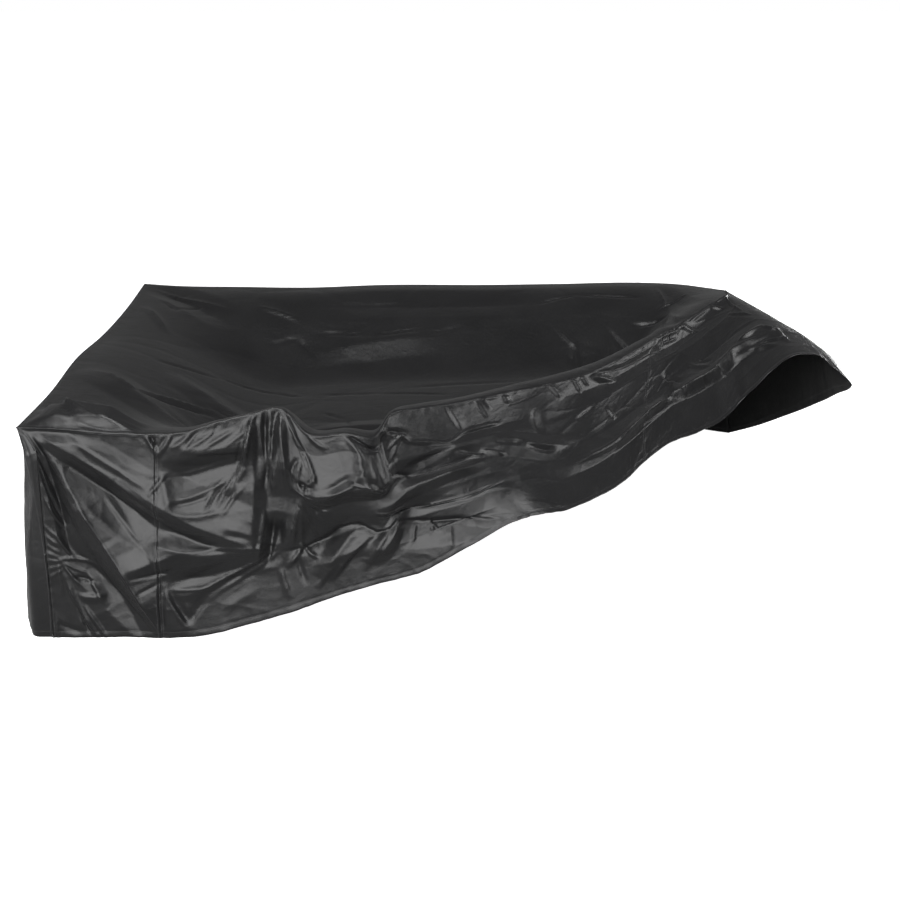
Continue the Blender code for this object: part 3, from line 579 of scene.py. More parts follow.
def through(points, knots, at):
    """Positions on the smooth curve that passes each point at its knot (a Catmull-Rom spline)."""
    points, knots, at = np.asarray(points, float), np.asarray(knots, float), np.asarray(at, float)
    chords = np.diff(points, axis=0) / np.diff(knots)[:, None]
    before, after = np.diff(knots)[:-1, None], np.diff(knots)[1:, None]
    inner = (chords[:-1] * after + chords[1:] * before) / (before + after)
    slopes = np.concatenate([chords[:1], inner, chords[-1:]])
    i = np.clip(np.searchsorted(knots, at, side="right") - 1, 0, len(knots) - 2)
    span = (knots[i + 1] - knots[i])[:, None]
    f = (at - knots[i])[:, None] / span
    return (
        points[i] * (1 + 2 * f) * (1 - f) ** 2
        + slopes[i] * span * f * (1 - f) ** 2
        + points[i + 1] * f**2 * (3 - 2 * f)
        + slopes[i + 1] * span * f**2 * (f - 1)
    )


def lengths_along(points):
    """The distance along a chain of points at each of them."""
    steps = np.linalg.norm(np.diff(np.asarray(points, float), axis=0), axis=1)
    return np.concatenate([[0.0], np.cumsum(steps)])


def spread(points, shares):
    """Positions at these shares of the length of the smooth curve through the points."""
    knots = lengths_along(points)
    return through(points, knots, np.asarray(shares) * knots[-1])


def smooth_step(value):
    """0 below 0, 1 above 1, and a soft step between them."""
    value = np.clip(value, 0.0, 1.0)
    return value * value * (3 - 2 * value)


def rise(distance, slope):
    """How far a slope has come at this distance from its edge, from 0 to 1."""
    return smooth_step((distance - slope.start) / (slope.full - slope.start))


SECTION_VALUES = np.array(SECTIONS, float)
SECTION_KNOTS = (lengths_along(SECTION_VALUES[:, :3]) + lengths_along(SECTION_VALUES[:, 6:9])) / 2


def bent_line(start, knee, end, bend, share):
    """The point at this share of the length of a line with one rounded bend."""
    before = np.linalg.norm(knee - start, axis=-1)
    after = np.linalg.norm(end - knee, axis=-1)
    length = before + after

    def point(distance):
        first = np.clip(distance / before, 0, 1)[:, None]
        second = np.clip((distance - before) / after, 0, 1)[:, None]
        return start + (knee - start) * first + (end - knee) * second

    distance = share * length
    reach = np.minimum(bend, np.minimum(distance, length - distance))
    return (point(distance - reach) + 2 * point(distance) + point(distance + reach)) / 4


def relief(places, folds, sharpness=1.0):
    """How far folds or creases lift or sink the cloth at these places, in their own flat coordinates."""
    total = np.zeros(places.shape[:-1])
    for fold in folds:
        start = np.array([fold.start_across, fold.start_down])
        run = np.array([fold.end_across, fold.end_down]) - start
        length = np.linalg.norm(run)
        offset = places - start
        along = (offset @ run) / length**2
        side = (run[0] * offset[..., 1] - run[1] * offset[..., 0]) / length
        side = side - getattr(fold, "bow", 0.0) * 4 * along * (1 - along)
        width = np.where(side < 0, fold.near_width, fold.far_width)
        slope = np.clip(1 - np.abs(side) / width, 0, 1)
        fade = np.clip(np.minimum(along, 1 - along) / FOLD_END_SHARE, 0, 1)
        total += fold.height * slope**sharpness * fade
    return total


def outward(rows):
    """The unit normals of rows of points, on the side that is outside for all the panels here."""
    normals = np.cross(np.gradient(rows, axis=0), np.gradient(rows, axis=1))
    return normals / np.linalg.norm(normals, axis=-1, keepdims=True)


def bowed(start, middle, end, row_count):
    """Rows of points from start through middle to end, on a parabola."""
    share = np.linspace(0, 1, row_count + 1)[:, None, None]
    through_start = start * (1 - share) * (1 - 2 * share)
    through_middle = middle * 4 * share * (1 - share)
    through_end = end * share * (2 * share - 1)
    return through_start + through_middle + through_end


def top_rows(front, right, top_shares):
    """Rows of the top panel, from the front seam to the back: a sagging patch between its four edges."""
    across = (front[:, 0] - front[0, 0]) / (front[-1, 0] - front[0, 0])
    back = spread(BACK_TOP_SEAM, across)
    left = spread(LEFT_TOP_SEAM, top_shares)
    u, v = across[None, :, None], top_shares[:, None, None]
    toward_front = np.concatenate([1 - v, 1 - v, (1 - v) ** HEIGHT_FADE], axis=2)
    front_corners = (1 - u) * front[0] + u * front[-1]
    back_corners = (1 - u) * back[0] + u * back[-1]
    crosswise = (1 - u) * left[:, None] + u * right[:, None]
    rows = crosswise + toward_front * (front - front_corners) + (1 - toward_front) * (back - back_corners)
    depth = np.linalg.norm(back - front, axis=1)
    run = depth * top_shares[:, None]
    sag = (
        rise(rows[..., 0] - LEFT, LEFT_SLOPE)
        * rise(depth - run, BACK_SLOPE)
        * rise(run, FRONT_SLOPE)
        * rise((1 - across) * COVER_WIDTH, RIGHT_SLOPE)
    )
    calm = smooth_step(run / FOLD_CALM) * smooth_step((depth - run) / FOLD_CALM)
    for from_side in (across, 1 - across):
        calm *= smooth_step(from_side * COVER_WIDTH / FOLD_CALM)
    rows[..., 2] += relief(rows[..., :2], TOP_FOLDS) * calm - SAG_DEPTH * sag
    return rows


# How fine the cloth's mesh is: steps along a panel in metres, and rows or columns of faces. The rows of
# the top panel and the columns of the left wall crowd together towards the front.
CORNER_STEP = 0.004
WALL_STEP = 0.006
WALL_FINE_ROWS = 132
TOP_STEP = 0.011
TOP_FINE_ROWS = 172
LEFT_COLUMNS = 200
BACK_COLUMNS = 260
BACK_FINE_ROWS = 70
FRONT_CROWDING = 1.2
SHEET_THICKNESS = 0.0012

# How close to an edge the relief dies out: the folds, the creases of the front walls, the creases of the
# top and of the hidden walls, the wrinkles of the top, and the seam and hem at the left wall's front edge
FOLD_CALM = 0.05
CREASE_CALM = 0.012
PLAIN_CALM = 0.02
WRINKLE_CALM = 0.03
CORNER_CALM = 0.01

# A sewn seam is a narrow ridge, and between two walls its middle is drawn in by this share of its height.
SEAM_RIDGE_WIDTH = 0.007
SEAM_RIDGE_HEIGHT = 0.0022
SEAM_DENT = 0.4
SEAM_DENT_WIDTH = 0.003
# The left wall is turned in over the corner seam, and its edge stands off by this many ridges.
LEFT_EDGE_LAYERS = 3
LEFT_EDGE_COLUMNS = 8

# The hem is turned up this far, and drawn in where it is stitched.
HEM_WIDTH = 0.02
HEM_STEP = 0.0009
HEM_STEP_WIDTH = 0.003
HEM_STITCH_DEPTH = 0.0014
HEM_STITCH_WIDTH = 0.004

# Puckers run away from a seam or a hem and fade. A seam's lean to one side and start beside its ridge.
Puckers = namedtuple("Puckers", "height spacing stretch fade")
SEAM_PUCKERS = Puckers(0.0026, 0.016, 0.35, 0.0225)
HEM_PUCKERS = Puckers(0.0016, 0.022, 0.5, 0.05)
PUCKER_LEAN = 0.4
PUCKER_START = 0.006

# Small wrinkles all over: a net of bent ridges with this spacing and height. It wanders, its strength
# comes and goes and its facets tilt, each over a distance and by a share that go with its spacing.
Wrinkles = namedtuple("Wrinkles", "spacing stretch height sharpness seed")
WALL_WRINKLES = [
    Wrinkles(0.130, 1.8, 0.0022, 0.12, 3),
    Wrinkles(0.050, 1.5, 0.0007, 0.16, 8),
]
TOP_WRINKLES = [
    Wrinkles(0.260, 1.9, 0.0024, 0.10, 5),
    Wrinkles(0.090, 1.6, 0.0006, 0.16, 11),
]
WANDER_DISTANCE, WANDER = 1.5, 0.45
STRENGTH_DISTANCE, STRENGTH_CHANGE = 2.5, 0.5
TILT_DISTANCE, TILT = 0.9, 0.5
# The hidden walls take the net from other places than the front does, this many metres away.
LEFT_NET_SHIFT = 7.0
BACK_NET_SHIFT = 13.0
# From here along the walls the right wall hangs on the outside. It is smoother by this share.
HANGING_START, HANGING_BLEND = 3.3, 0.3
HANGING_CALM = 0.75

# Numbers that mix a cell's column, row and seed, and turn the mix into a number from 0 to 1
COLUMN_MIX, ROW_MIX, SEED_MIX = 73856093, 19349663, 83492791
CELL_NUMBERS = ((100003, 12.9898, 43758.5453), (99991, 78.233, 24634.6345))


def hashed(columns, rows, seed):
    """Repeatable numbers from 0 to 1, two for each cell of a grid."""
    cell = columns.astype(np.int64) * COLUMN_MIX ^ rows.astype(np.int64) * ROW_MIX ^ seed * SEED_MIX
    numbers = [np.sin(cell % wrap * turn) * scale for wrap, turn, scale in CELL_NUMBERS]
    return [number - np.floor(number) for number in numbers]


def soft_noise(places, spacing, seed):
    """Smooth bumps between -1 and 1 that repeat nowhere, about this far apart."""
    scaled = places / spacing
    cell = np.floor(scaled)
    part = smooth_step(scaled - cell)
    total = 0
    for across in (0, 1):
        for down in (0, 1):
            value, _ = hashed(cell[..., 0] + across, cell[..., 1] + down, seed)
            share_across = part[..., 0] if across else 1 - part[..., 0]
            share_down = part[..., 1] if down else 1 - part[..., 1]
            total = total + value * (share_across * share_down)
    return total * 2 - 1


def wrinkle_net(places, wrinkles):
    """A net of sharp ridges between flat facets, as in crumpled coated cloth."""
    spacing, seed = wrinkles.spacing, wrinkles.seed
    wander = [soft_noise(places, spacing * WANDER_DISTANCE, seed + axis) for axis in (0, 1)]
    moved = places + np.stack(wander, -1) * spacing * WANDER
    scaled = moved / (spacing * np.array([wrinkles.stretch, 1.0]))
    cell = np.floor(scaled)
    nearest = np.full(places.shape[:-1], math.inf)
    second = nearest.copy()
    for across in (-1, 0, 1):
        for down in (-1, 0, 1):
            x, y = hashed(cell[..., 0] + across, cell[..., 1] + down, seed)
            from_x = scaled[..., 0] - cell[..., 0] - across - x
            from_y = scaled[..., 1] - cell[..., 1] - down - y
            distance = np.hypot(from_x, from_y)
            second = np.minimum(second, np.maximum(nearest, distance))
            nearest = np.minimum(nearest, distance)
    ridge = np.exp(-(second - nearest) / wrinkles.sharpness)
    change = soft_noise(places, spacing * STRENGTH_DISTANCE, seed + 7)
    strength = 1 - STRENGTH_CHANGE + STRENGTH_CHANGE * change
    tilt = soft_noise(places, spacing * TILT_DISTANCE, seed + 4)
    return wrinkles.height * (ridge * strength + TILT * tilt)


def puckers_from(distance, along, puckers, seed):
    """Short puckers that run away from a sewn edge and fade."""
    places = np.stack([along, distance * puckers.stretch], -1)
    return puckers.height * (soft_noise(places, puckers.spacing, seed) * np.exp(-distance / puckers.fade))


def seam_relief(distance, along, seed):
    """A sewn seam's narrow ridge, with the short puckers that run away from it."""
    ridge = SEAM_RIDGE_HEIGHT * np.exp(-((distance / SEAM_RIDGE_WIDTH) ** 2))
    puckers = puckers_from(distance, along + distance * PUCKER_LEAN, SEAM_PUCKERS, seed)
    return ridge + puckers * smooth_step(distance / PUCKER_START)


def hem_relief(distance, along, seed=31):
    """The turned-up hem: a band of double cloth, drawn in at its stitching."""
    band = HEM_STEP * smooth_step((HEM_WIDTH + HEM_STEP_WIDTH - distance) / HEM_STEP_WIDTH)
    stitch = HEM_STITCH_DEPTH * np.exp(-(((distance - HEM_WIDTH) / HEM_STITCH_WIDTH) ** 2))
    return band - stitch + puckers_from(distance, along, HEM_PUCKERS, seed)


def panel_knots():
    """Places along the walls, in metres, with the seams between panels among them, and which columns of
    them are the seams."""
    ends = [SECTION_KNOTS[i] for i in (0, CORNER_PANEL_END, FRONT_PANEL_END, len(SECTIONS) - 1)]
    parts = []
    for start, end, step in zip(ends[:-1], ends[1:], (CORNER_STEP, WALL_STEP, WALL_STEP)):
        parts.append(np.linspace(start, end, int((end - start) / step) + 1))
    knots = np.concatenate([parts[0]] + [part[1:] for part in parts[1:]])
    seams = np.cumsum([0] + [len(part) - 1 for part in parts])
    return knots, seams


def flat_places(across, row_count):
    """The places on a flat wall of rows of points, and how far across and down they are."""
    across, down = np.meshgrid(across, np.linspace(0, 1, row_count + 1) * COVER_HEIGHT)
    return np.stack([across, down], -1), across, down


def wall_rows(knots, seams):
    """Rows of points of the three front and right wall panels as one, from the top seam to the hem. The
    seams are the columns that have a seam's ridge."""
    columns = through(SECTION_VALUES, SECTION_KNOTS, knots)
    seam, knee, hem, bend = columns[:, 0:3], columns[:, 3:6], columns[:, 6:9], columns[:, 9]
    shares = np.linspace(0, 1, WALL_FINE_ROWS + 1)
    rows = np.array([bent_line(seam, knee, hem, bend, share) for share in shares])
    places, across, down = flat_places(knots, WALL_FINE_ROWS)
    lift = relief(places, WALL_FOLDS) * smooth_step(down / FOLD_CALM) * smooth_step(across / FOLD_CALM)
    calm = smooth_step(down / CREASE_CALM) * smooth_step(across / CREASE_CALM)
    lift += relief(places, WALL_CREASES, CREASE_SHARPNESS) * calm
    hanging = smooth_step((across - HANGING_START) / HANGING_BLEND)
    for wrinkles in WALL_WRINKLES:
        lift += wrinkle_net(places, wrinkles) * calm * (1 - HANGING_CALM * hanging)
    lift += seam_relief(down, across, seed=21)
    for column in seams:
        beside = np.abs(across - knots[column])
        dent = SEAM_RIDGE_HEIGHT * SEAM_DENT * np.exp(-((beside / SEAM_DENT_WIDTH) ** 2))
        lift += seam_relief(beside, down, seed=23) - dent
    lift += hem_relief(COVER_HEIGHT - down, across)
    return rows + outward(rows) * lift[..., None], places


def fine_top_panel(front_knots):
    """Rows of points of the top panel, from the front seam to the back, and each point's place on it."""
    front = through(SECTION_VALUES, SECTION_KNOTS, front_knots)[:, 0:3]
    shares = np.linspace(0, 1, TOP_FINE_ROWS + 1)
    sections = THROWN_BACK_CORNER + shares * (len(SECTIONS) - 1 - THROWN_BACK_CORNER)
    right_knots = np.interp(sections, np.arange(len(SECTIONS)), SECTION_KNOTS)
    right = through(SECTION_VALUES, SECTION_KNOTS, right_knots)[:, 0:3]
    rows = top_rows(front, right, shares**FRONT_CROWDING)
    places = rows[..., :2]
    from_front = np.linalg.norm(rows - rows[:1], axis=-1)
    from_back = np.linalg.norm(rows - rows[-1:], axis=-1)
    from_left = np.linalg.norm(places - places[:, :1], axis=-1)
    from_right = np.linalg.norm(places - places[:, -1:], axis=-1)
    edge = np.minimum(np.minimum(from_front, from_back), np.minimum(from_left, from_right))
    lift = relief(places, TOP_CREASES, CREASE_SHARPNESS) * smooth_step(edge / PLAIN_CALM)
    for wrinkles in TOP_WRINKLES:
        lift += wrinkle_net(places, wrinkles) * smooth_step(edge / WRINKLE_CALM)
    for distance, seed in ((from_front, 41), (from_back, 43)):
        lift += seam_relief(distance, places[..., 0], seed)
    for distance, seed in ((from_left, 45), (from_right, 47)):
        lift += seam_relief(distance, places[..., 1], seed)
    return rows + outward(rows) * lift[..., None], places


def plain_relief(places, width, creases, net_shift, seam_seed, seam_calm=1.0):
    """The relief of a hidden wall this wide: its creases and wrinkles, its top seam and its hem."""
    across, down = places[..., 0], places[..., 1]
    calm = smooth_step(across / PLAIN_CALM) * smooth_step((width - across) / PLAIN_CALM)
    calm = calm * smooth_step(down / CREASE_CALM)
    lift = relief(places, creases, CREASE_SHARPNESS) * calm
    for wrinkles in WALL_WRINKLES:
        lift += wrinkle_net(places + net_shift, wrinkles) * calm
    sewn = seam_relief(down, across, seam_seed) + hem_relief(COVER_HEIGHT - down, across)
    return lift + sewn * seam_calm


def fine_left_wall(corner_seam):
    """Rows of points of the left wall, and each point's place on it."""
    shares = np.linspace(0, 1, LEFT_COLUMNS + 1) ** FRONT_CROWDING
    top, middle, hem = (spread(line, shares) for line in (LEFT_TOP_SEAM, LEFT_MIDDLE, LEFT_HEM))
    rows = bowed(top, middle, hem, WALL_FINE_ROWS)
    rows[:, 0] = corner_seam
    places, across, _ = flat_places(shares * COVER_DEPTH, WALL_FINE_ROWS)
    seam_calm = smooth_step(across / CORNER_CALM)
    lift = plain_relief(places, COVER_DEPTH, LEFT_CREASES, LEFT_NET_SHIFT, 51, seam_calm)
    return rows + outward(rows) * lift[..., None], places


def fine_back_wall():
    """Rows of points of the back wall, and each point's place on it."""
    shares = np.linspace(0, 1, BACK_COLUMNS + 1)
    top, hem = spread(BACK_TOP_SEAM, shares), spread(BACK_HEM, shares)
    rows = bowed(top, (top + hem) / 2, hem, BACK_FINE_ROWS)
    places, _, _ = flat_places(shares * COVER_WIDTH, BACK_FINE_ROWS)
    lift = plain_relief(places, COVER_WIDTH, BACK_CREASES, BACK_NET_SHIFT, 61)
    return rows + outward(rows) * lift[..., None], places


class Value:
    """A number or vector that varies over a surface: one output socket of a material's nodes."""

    def __init__(self, finish, socket):
        self.finish = finish
        self.socket = socket

    def _math(self, operation, *values):
        return self.finish.node("ShaderNodeMath", {"operation": operation}, dict(enumerate(values)))

    def __add__(self, other):
        return self._math("ADD", self, other)

    __radd__ = __add__

    def __sub__(self, other):
        return self._math("SUBTRACT", self, other)

    def __rsub__(self, other):
        return self._math("SUBTRACT", other, self)

    def __mul__(self, other):
        return self._math("MULTIPLY", self, other)

    __rmul__ = __mul__

    def __truediv__(self, other):
        return self._math("DIVIDE", self, other)

    def sine(self):
        return self._math("SINE", self)

    def size(self):
        return self._math("ABSOLUTE", self)

    def fraction(self):
        return self._math("FRACT", self)

    def largest(self, other):
        return self._math("MAXIMUM", self, other)

    def from_to(self, low, high):
        """0 below low, 1 above high, and a soft step between them. It falls where low is above high."""
        settings = {"interpolation_type": "SMOOTHSTEP"}
        sockets = {"Value": self, "From Min": low, "From Max": high, "To Min": 0.0, "To Max": 1.0}
        if low > high:
            sockets.update({"From Min": high, "From Max": low, "To Min": 1.0, "To Max": 0.0})
        return self.finish.node("ShaderNodeMapRange", settings, sockets)

    def mixed(self, low_colour, high_colour):
        """The first colour where this is 0 and the second where it is 1."""
        settings = {"data_type": "RGBA", "blend_type": "MIX"}
        return self.finish.node("ShaderNodeMix", settings, {0: self, 6: low_colour, 7: high_colour}, 2)


class Finish:
    """A material that is put together from nodes."""

    def __init__(self, name):
        self.material = bpy.data.materials.new(name)
        self.material.use_nodes = True
        self.tree = self.material.node_tree
        self.shader = self.tree.nodes["Principled BSDF"]

    def node(self, kind, settings, sockets, output=0):
        """One node: its settings, then the values or links of its sockets. Gives one of its outputs."""
        made = self.tree.nodes.new(kind)
        for name, value in settings.items():
            setattr(made, name, value)
        for name, value in sockets.items():
            self.feed(made, name, value)
        return Value(self, made.outputs[output])

    def feed(self, made, name, value):
        """Give one socket its value or its link."""
        if isinstance(value, Value):
            self.tree.links.new(value.socket, made.inputs[name])
        else:
            made.inputs[name].default_value = value

    def surface(self, **sockets):
        """Feed the shader. An underscore in a name stands for a space."""
        for name, value in sockets.items():
            self.feed(self.shader, name.replace("_", " "), value)

    def noise(self, place, grain):
        """Noise of one kind of grain."""
        sockets = {"Vector": place, "Scale": 1 / grain.spacing, "Detail": grain.detail}
        sockets.update({"Roughness": grain.roughness, "Distortion": grain.distortion})
        return self.node("ShaderNodeTexNoise", {"noise_type": grain.kind, "normalize": True}, sockets)

    def bump(self, height, distance, normal=None):
        """A normal that leans with this height, on top of an earlier one."""
        sockets = {"Height": height, "Distance": distance, "Strength": 1.0}
        if normal is not None:
            sockets["Normal"] = normal
        return self.node("ShaderNodeBump", {}, sockets)


# The cloth's grains, each with the distance between its forms in metres
Grain = namedtuple("Grain", "spacing detail roughness distortion kind")
YARN = Grain(0.0035, 3.0, 0.6, 0.0, "FBM")
DENTS = Grain(0.020, 3.0, 0.55, 0.6, "FBM")
CREASE_RIDGES = Grain(0.055, 4.0, 0.5, 1.2, "RIDGED_MULTIFRACTAL")
PATCHES = Grain(0.35, 3.0, 0.55, 0.4, "FBM")
DUST = Grain(0.09, 5.0, 0.65, 0.2, "FBM")
SHADE_EDGES = (0.30, 0.72)
# Where the crease noise's ridges turn lighter, and by how much: partly rubbed wear, partly a painted
# highlight along their crests
CREASE_WEAR_AND_HIGHLIGHT_EDGES, CREASE_WEAR_AND_HIGHLIGHT_SHARE = (0.62, 0.95), 0.25

# Where a stitch ends, beside its line in metres and along it as a share of its pitch
THREAD_EDGES = (0.0009, 0.0004)
DASH_EDGES = (0.42, 0.34)
# How far from an edge a row of stitches runs, on the walls and on the top
WALL_STITCHES = 0.008
TOP_STITCHES = 0.012

SHEEN_ROUGHNESS = 0.45
CLOTH_MAP = "cloth"


def coated_cloth(name, look, stitch_lines):
    """Black woven polyester with a coating: a fine weave, dents, creases whose ridges are lightened partly as
    rubbed wear and partly as a painted highlight, and lock stitches along its seams. Each stitch line is
    across or down, at a distance in metres in the cloth's own map."""
    cloth = Finish(name)
    place = cloth.node("ShaderNodeUVMap", {"uv_map": CLOTH_MAP}, {})
    across, down = (cloth.node("ShaderNodeSeparateXYZ", {}, {0: place}, axis) for axis in (0, 1))
    # The weave's waves, one in each pitch
    turn = 2 * math.pi / look.weave_pitch
    weave = (across * turn).sine() * (down * turn).sine()
    grains = (YARN, DENTS, CREASE_RIDGES, PATCHES, DUST)
    yarn, dents, creases, patches, dust = (cloth.noise(place, grain) for grain in grains)
    thread = None
    for direction, distance in stitch_lines:
        beside, along = (down, across) if direction == "across" else (across, down)
        line = (beside - distance).size().from_to(*THREAD_EDGES)
        dash = ((along / look.stitch_pitch).fraction() - 0.5).size().from_to(*DASH_EDGES)
        thread = thread.largest(line * dash) if thread else line * dash
    shade = (patches * 0.65 + dust * 0.35).from_to(*SHADE_EDGES)
    colour = shade.mixed(tuple(look.cloth_dark), tuple(look.cloth_light))
    # The crease ridges are lightened towards the crease colour: partly rubbed wear, partly a painted
    # highlight on their crests
    crease_wear_and_highlight = creases.from_to(*CREASE_WEAR_AND_HIGHLIGHT_EDGES) * CREASE_WEAR_AND_HIGHLIGHT_SHARE
    colour = crease_wear_and_highlight.mixed(colour, tuple(look.crease_wear_and_highlight_colour))
    colour = thread.mixed(colour, tuple(look.thread_colour))
    roughness = look.roughness + (patches - 0.5) * 0.10 + (yarn - 0.5) * 0.06 + thread * 0.1
    normal = cloth.bump(creases, look.crease_depth)
    normal = cloth.bump(dents, look.dent_depth, normal)
    normal = cloth.bump(weave * 0.5 + yarn * 0.5 + thread * 2.5, look.weave_depth, normal)
    cloth.surface(Base_Color=colour, Roughness=roughness, Normal=normal)
    cloth.surface(Specular_IOR_Level=look.gloss, Sheen_Weight=look.sheen)
    cloth.surface(Sheen_Roughness=SHEEN_ROUGHNESS)
    return cloth.material


def sewn_edges(height):
    """The stitch lines along a wall's top seam and its hem."""
    return [("across", WALL_STITCHES), ("across", height - HEM_WIDTH)]


def cloth_panel(name, rows, places, node, material):
    """A grid moved onto its rows of points and thickened, with each point's place on the cloth as its map."""
    down, across = rows.shape[0] - 1, rows.shape[1] - 1
    grid = bmesh.new()
    bmesh.ops.create_grid(grid, x_segments=across, y_segments=down, size=1.0)
    chart = grid.loops.layers.uv.new(CLOTH_MAP)
    for vertex in grid.verts:
        column = round((vertex.co.x + 1) / 2 * across)
        row = round((vertex.co.y + 1) / 2 * down)
        vertex.co = rows[row, column] - ORIGIN
        for loop in vertex.link_loops:
            loop[chart].uv = places[row, column]
    bmesh.ops.recalc_face_normals(grid, faces=grid.faces)
    mesh = bpy.data.meshes.new(name)
    grid.to_mesh(mesh)
    grid.free()
    mesh.shade_smooth()
    mesh.materials.append(material)
    panel = bpy.data.objects.new(name, mesh)
    bpy.context.scene.collection.objects.link(panel)
    thickness = panel.modifiers.new("Cloth", "SOLIDIFY")
    thickness.thickness = SHEET_THICKNESS
    thickness.offset = 0.0
    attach(panel, "root")
    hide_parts(node)


# The floor's colour as the cloth mirrors it, where the camera sees it white
FLOOR_IN_THE_CLOTH = (0.24, 0.24, 0.24, 1.0)
FLOOR_REACH = 200.0
FLOOR_ROUGHNESS = 0.9
BLACK, WHITE = (0.0, 0.0, 0.0, 1.0), (1.0, 1.0, 1.0, 1.0)

# The soft lights: where each stands, its width and height, and the setting that holds its power. All
# point at the middle of the cover's front.
SoftLight = namedtuple("SoftLight", "name place width height power")
SOFT_LIGHTS = [
    SoftLight("overhead_light", (-0.2, -2.4, 6.0), 5.0, 2.5, "overhead"),
    SoftLight("front_light", (-1.2, -8.2, 3.3), 10.5, 6.5, "key_power"),
    SoftLight("right_light", (6.2, -0.1, 2.5), 3.0, 3.2, "side_power"),
    SoftLight("left_light", (-6.5, -3.2, 0.4), 2.6, 1.8, "left_power"),
    SoftLight("back_light", (6.0, 5.4, 0.2), 3.6, 2.0, "back_power"),
]
LIGHT_AIM = Vector((0.0, -1.6, -0.3))

# The photo's view: where the camera stood and which way it looked, in degrees
CAMERA_PLACE = np.array([-0.113, -4.985, 1.976])
CAMERA_DOWN = 19.0
CAMERA_RIGHT = 1.5
CAMERA_REACH = 200.0
SENSOR_WIDTH = 36.0


def pale_floor(studio):
    """A wide floor that the camera sees white and the cloth mirrors darker."""
    floor = bpy.data.meshes.new("floor")
    corners = [(-1, -1), (1, -1), (1, 1), (-1, 1)]
    places = [(x * FLOOR_REACH, y * FLOOR_REACH, FLOOR_HEIGHT) for x, y in corners]
    floor.from_pydata(places, [], [(0, 1, 2, 3)])
    finish = Finish("pale_floor")
    seen = finish.node("ShaderNodeLightPath", {}, {}, "Is Camera Ray")
    colour = seen.mixed(FLOOR_IN_THE_CLOTH, tuple(studio.floor_colour))
    glow = seen.mixed(BLACK, WHITE)
    finish.surface(Base_Color=colour, Roughness=FLOOR_ROUGHNESS, Emission_Color=glow, Emission_Strength=1.0)
    floor.materials.append(finish.material)
    stage = bpy.data.objects.new("floor", floor)
    bpy.context.scene.collection.objects.link(stage)


def white_surround(brightness):
    """Light from all round that the camera sees white."""
    world = bpy.data.worlds.new("studio")
    world.use_nodes = True
    nodes, links = world.node_tree.nodes, world.node_tree.links
    rays = nodes.new("ShaderNodeLightPath")
    shade = nodes.new("ShaderNodeMapRange")
    shade.inputs["To Min"].default_value = brightness
    shade.inputs["To Max"].default_value = 1.0
    links.new(rays.outputs["Is Camera Ray"], shade.inputs["Value"])
    links.new(shade.outputs[0], nodes["Background"].inputs["Strength"])
    nodes["Background"].inputs["Color"].default_value = WHITE
    bpy.context.scene.world = world


def soft_light(setting, power):
    """One soft light, in watts."""
    lamp = bpy.data.lights.new(setting.name, "AREA")
    lamp.energy = power
    lamp.shape = "RECTANGLE"
    lamp.size = setting.width
    lamp.size_y = setting.height
    light = bpy.data.objects.new(setting.name, lamp)
    light.location = setting.place
    toward = LIGHT_AIM - Vector(setting.place)
    light.rotation_euler = toward.to_track_quat("-Z", "Y").to_euler()
    bpy.context.scene.collection.objects.link(light)


def photo_camera(studio):
    """The camera in the photo's view."""
    lens = bpy.data.cameras.new("photo_camera")
    lens.lens = studio.lens
    lens.sensor_width = SENSOR_WIDTH
    lens.clip_end = CAMERA_REACH
    camera = bpy.data.objects.new("photo_camera", lens)
    camera.location = CAMERA_PLACE - ORIGIN
    camera.rotation_euler = (math.radians(90 - CAMERA_DOWN), 0.0, math.radians(-CAMERA_RIGHT))
    bpy.context.scene.collection.objects.link(camera)
    bpy.context.scene.camera = camera


class CoverSizes(bpy.types.PropertyGroup):
    """The sizes that the panels are cut to."""

    width: bpy.props.FloatProperty(
        name="Width", description="Width of the cover's top, as cut", default=COVER_WIDTH, unit="LENGTH"
    )
    depth: bpy.props.FloatProperty(
        name="Depth", description="Depth of the cover's top, as cut", default=COVER_DEPTH, unit="LENGTH"
    )
    height: bpy.props.FloatProperty(
        name="Height", description="Height of the walls, as cut", default=COVER_HEIGHT, unit="LENGTH"
    )
    corner_panel_width: bpy.props.FloatProperty(
        name="Corner panel", description="Width of the front corner panel, as cut",
        default=CORNER_PANEL_WIDTH, unit="LENGTH",
    )


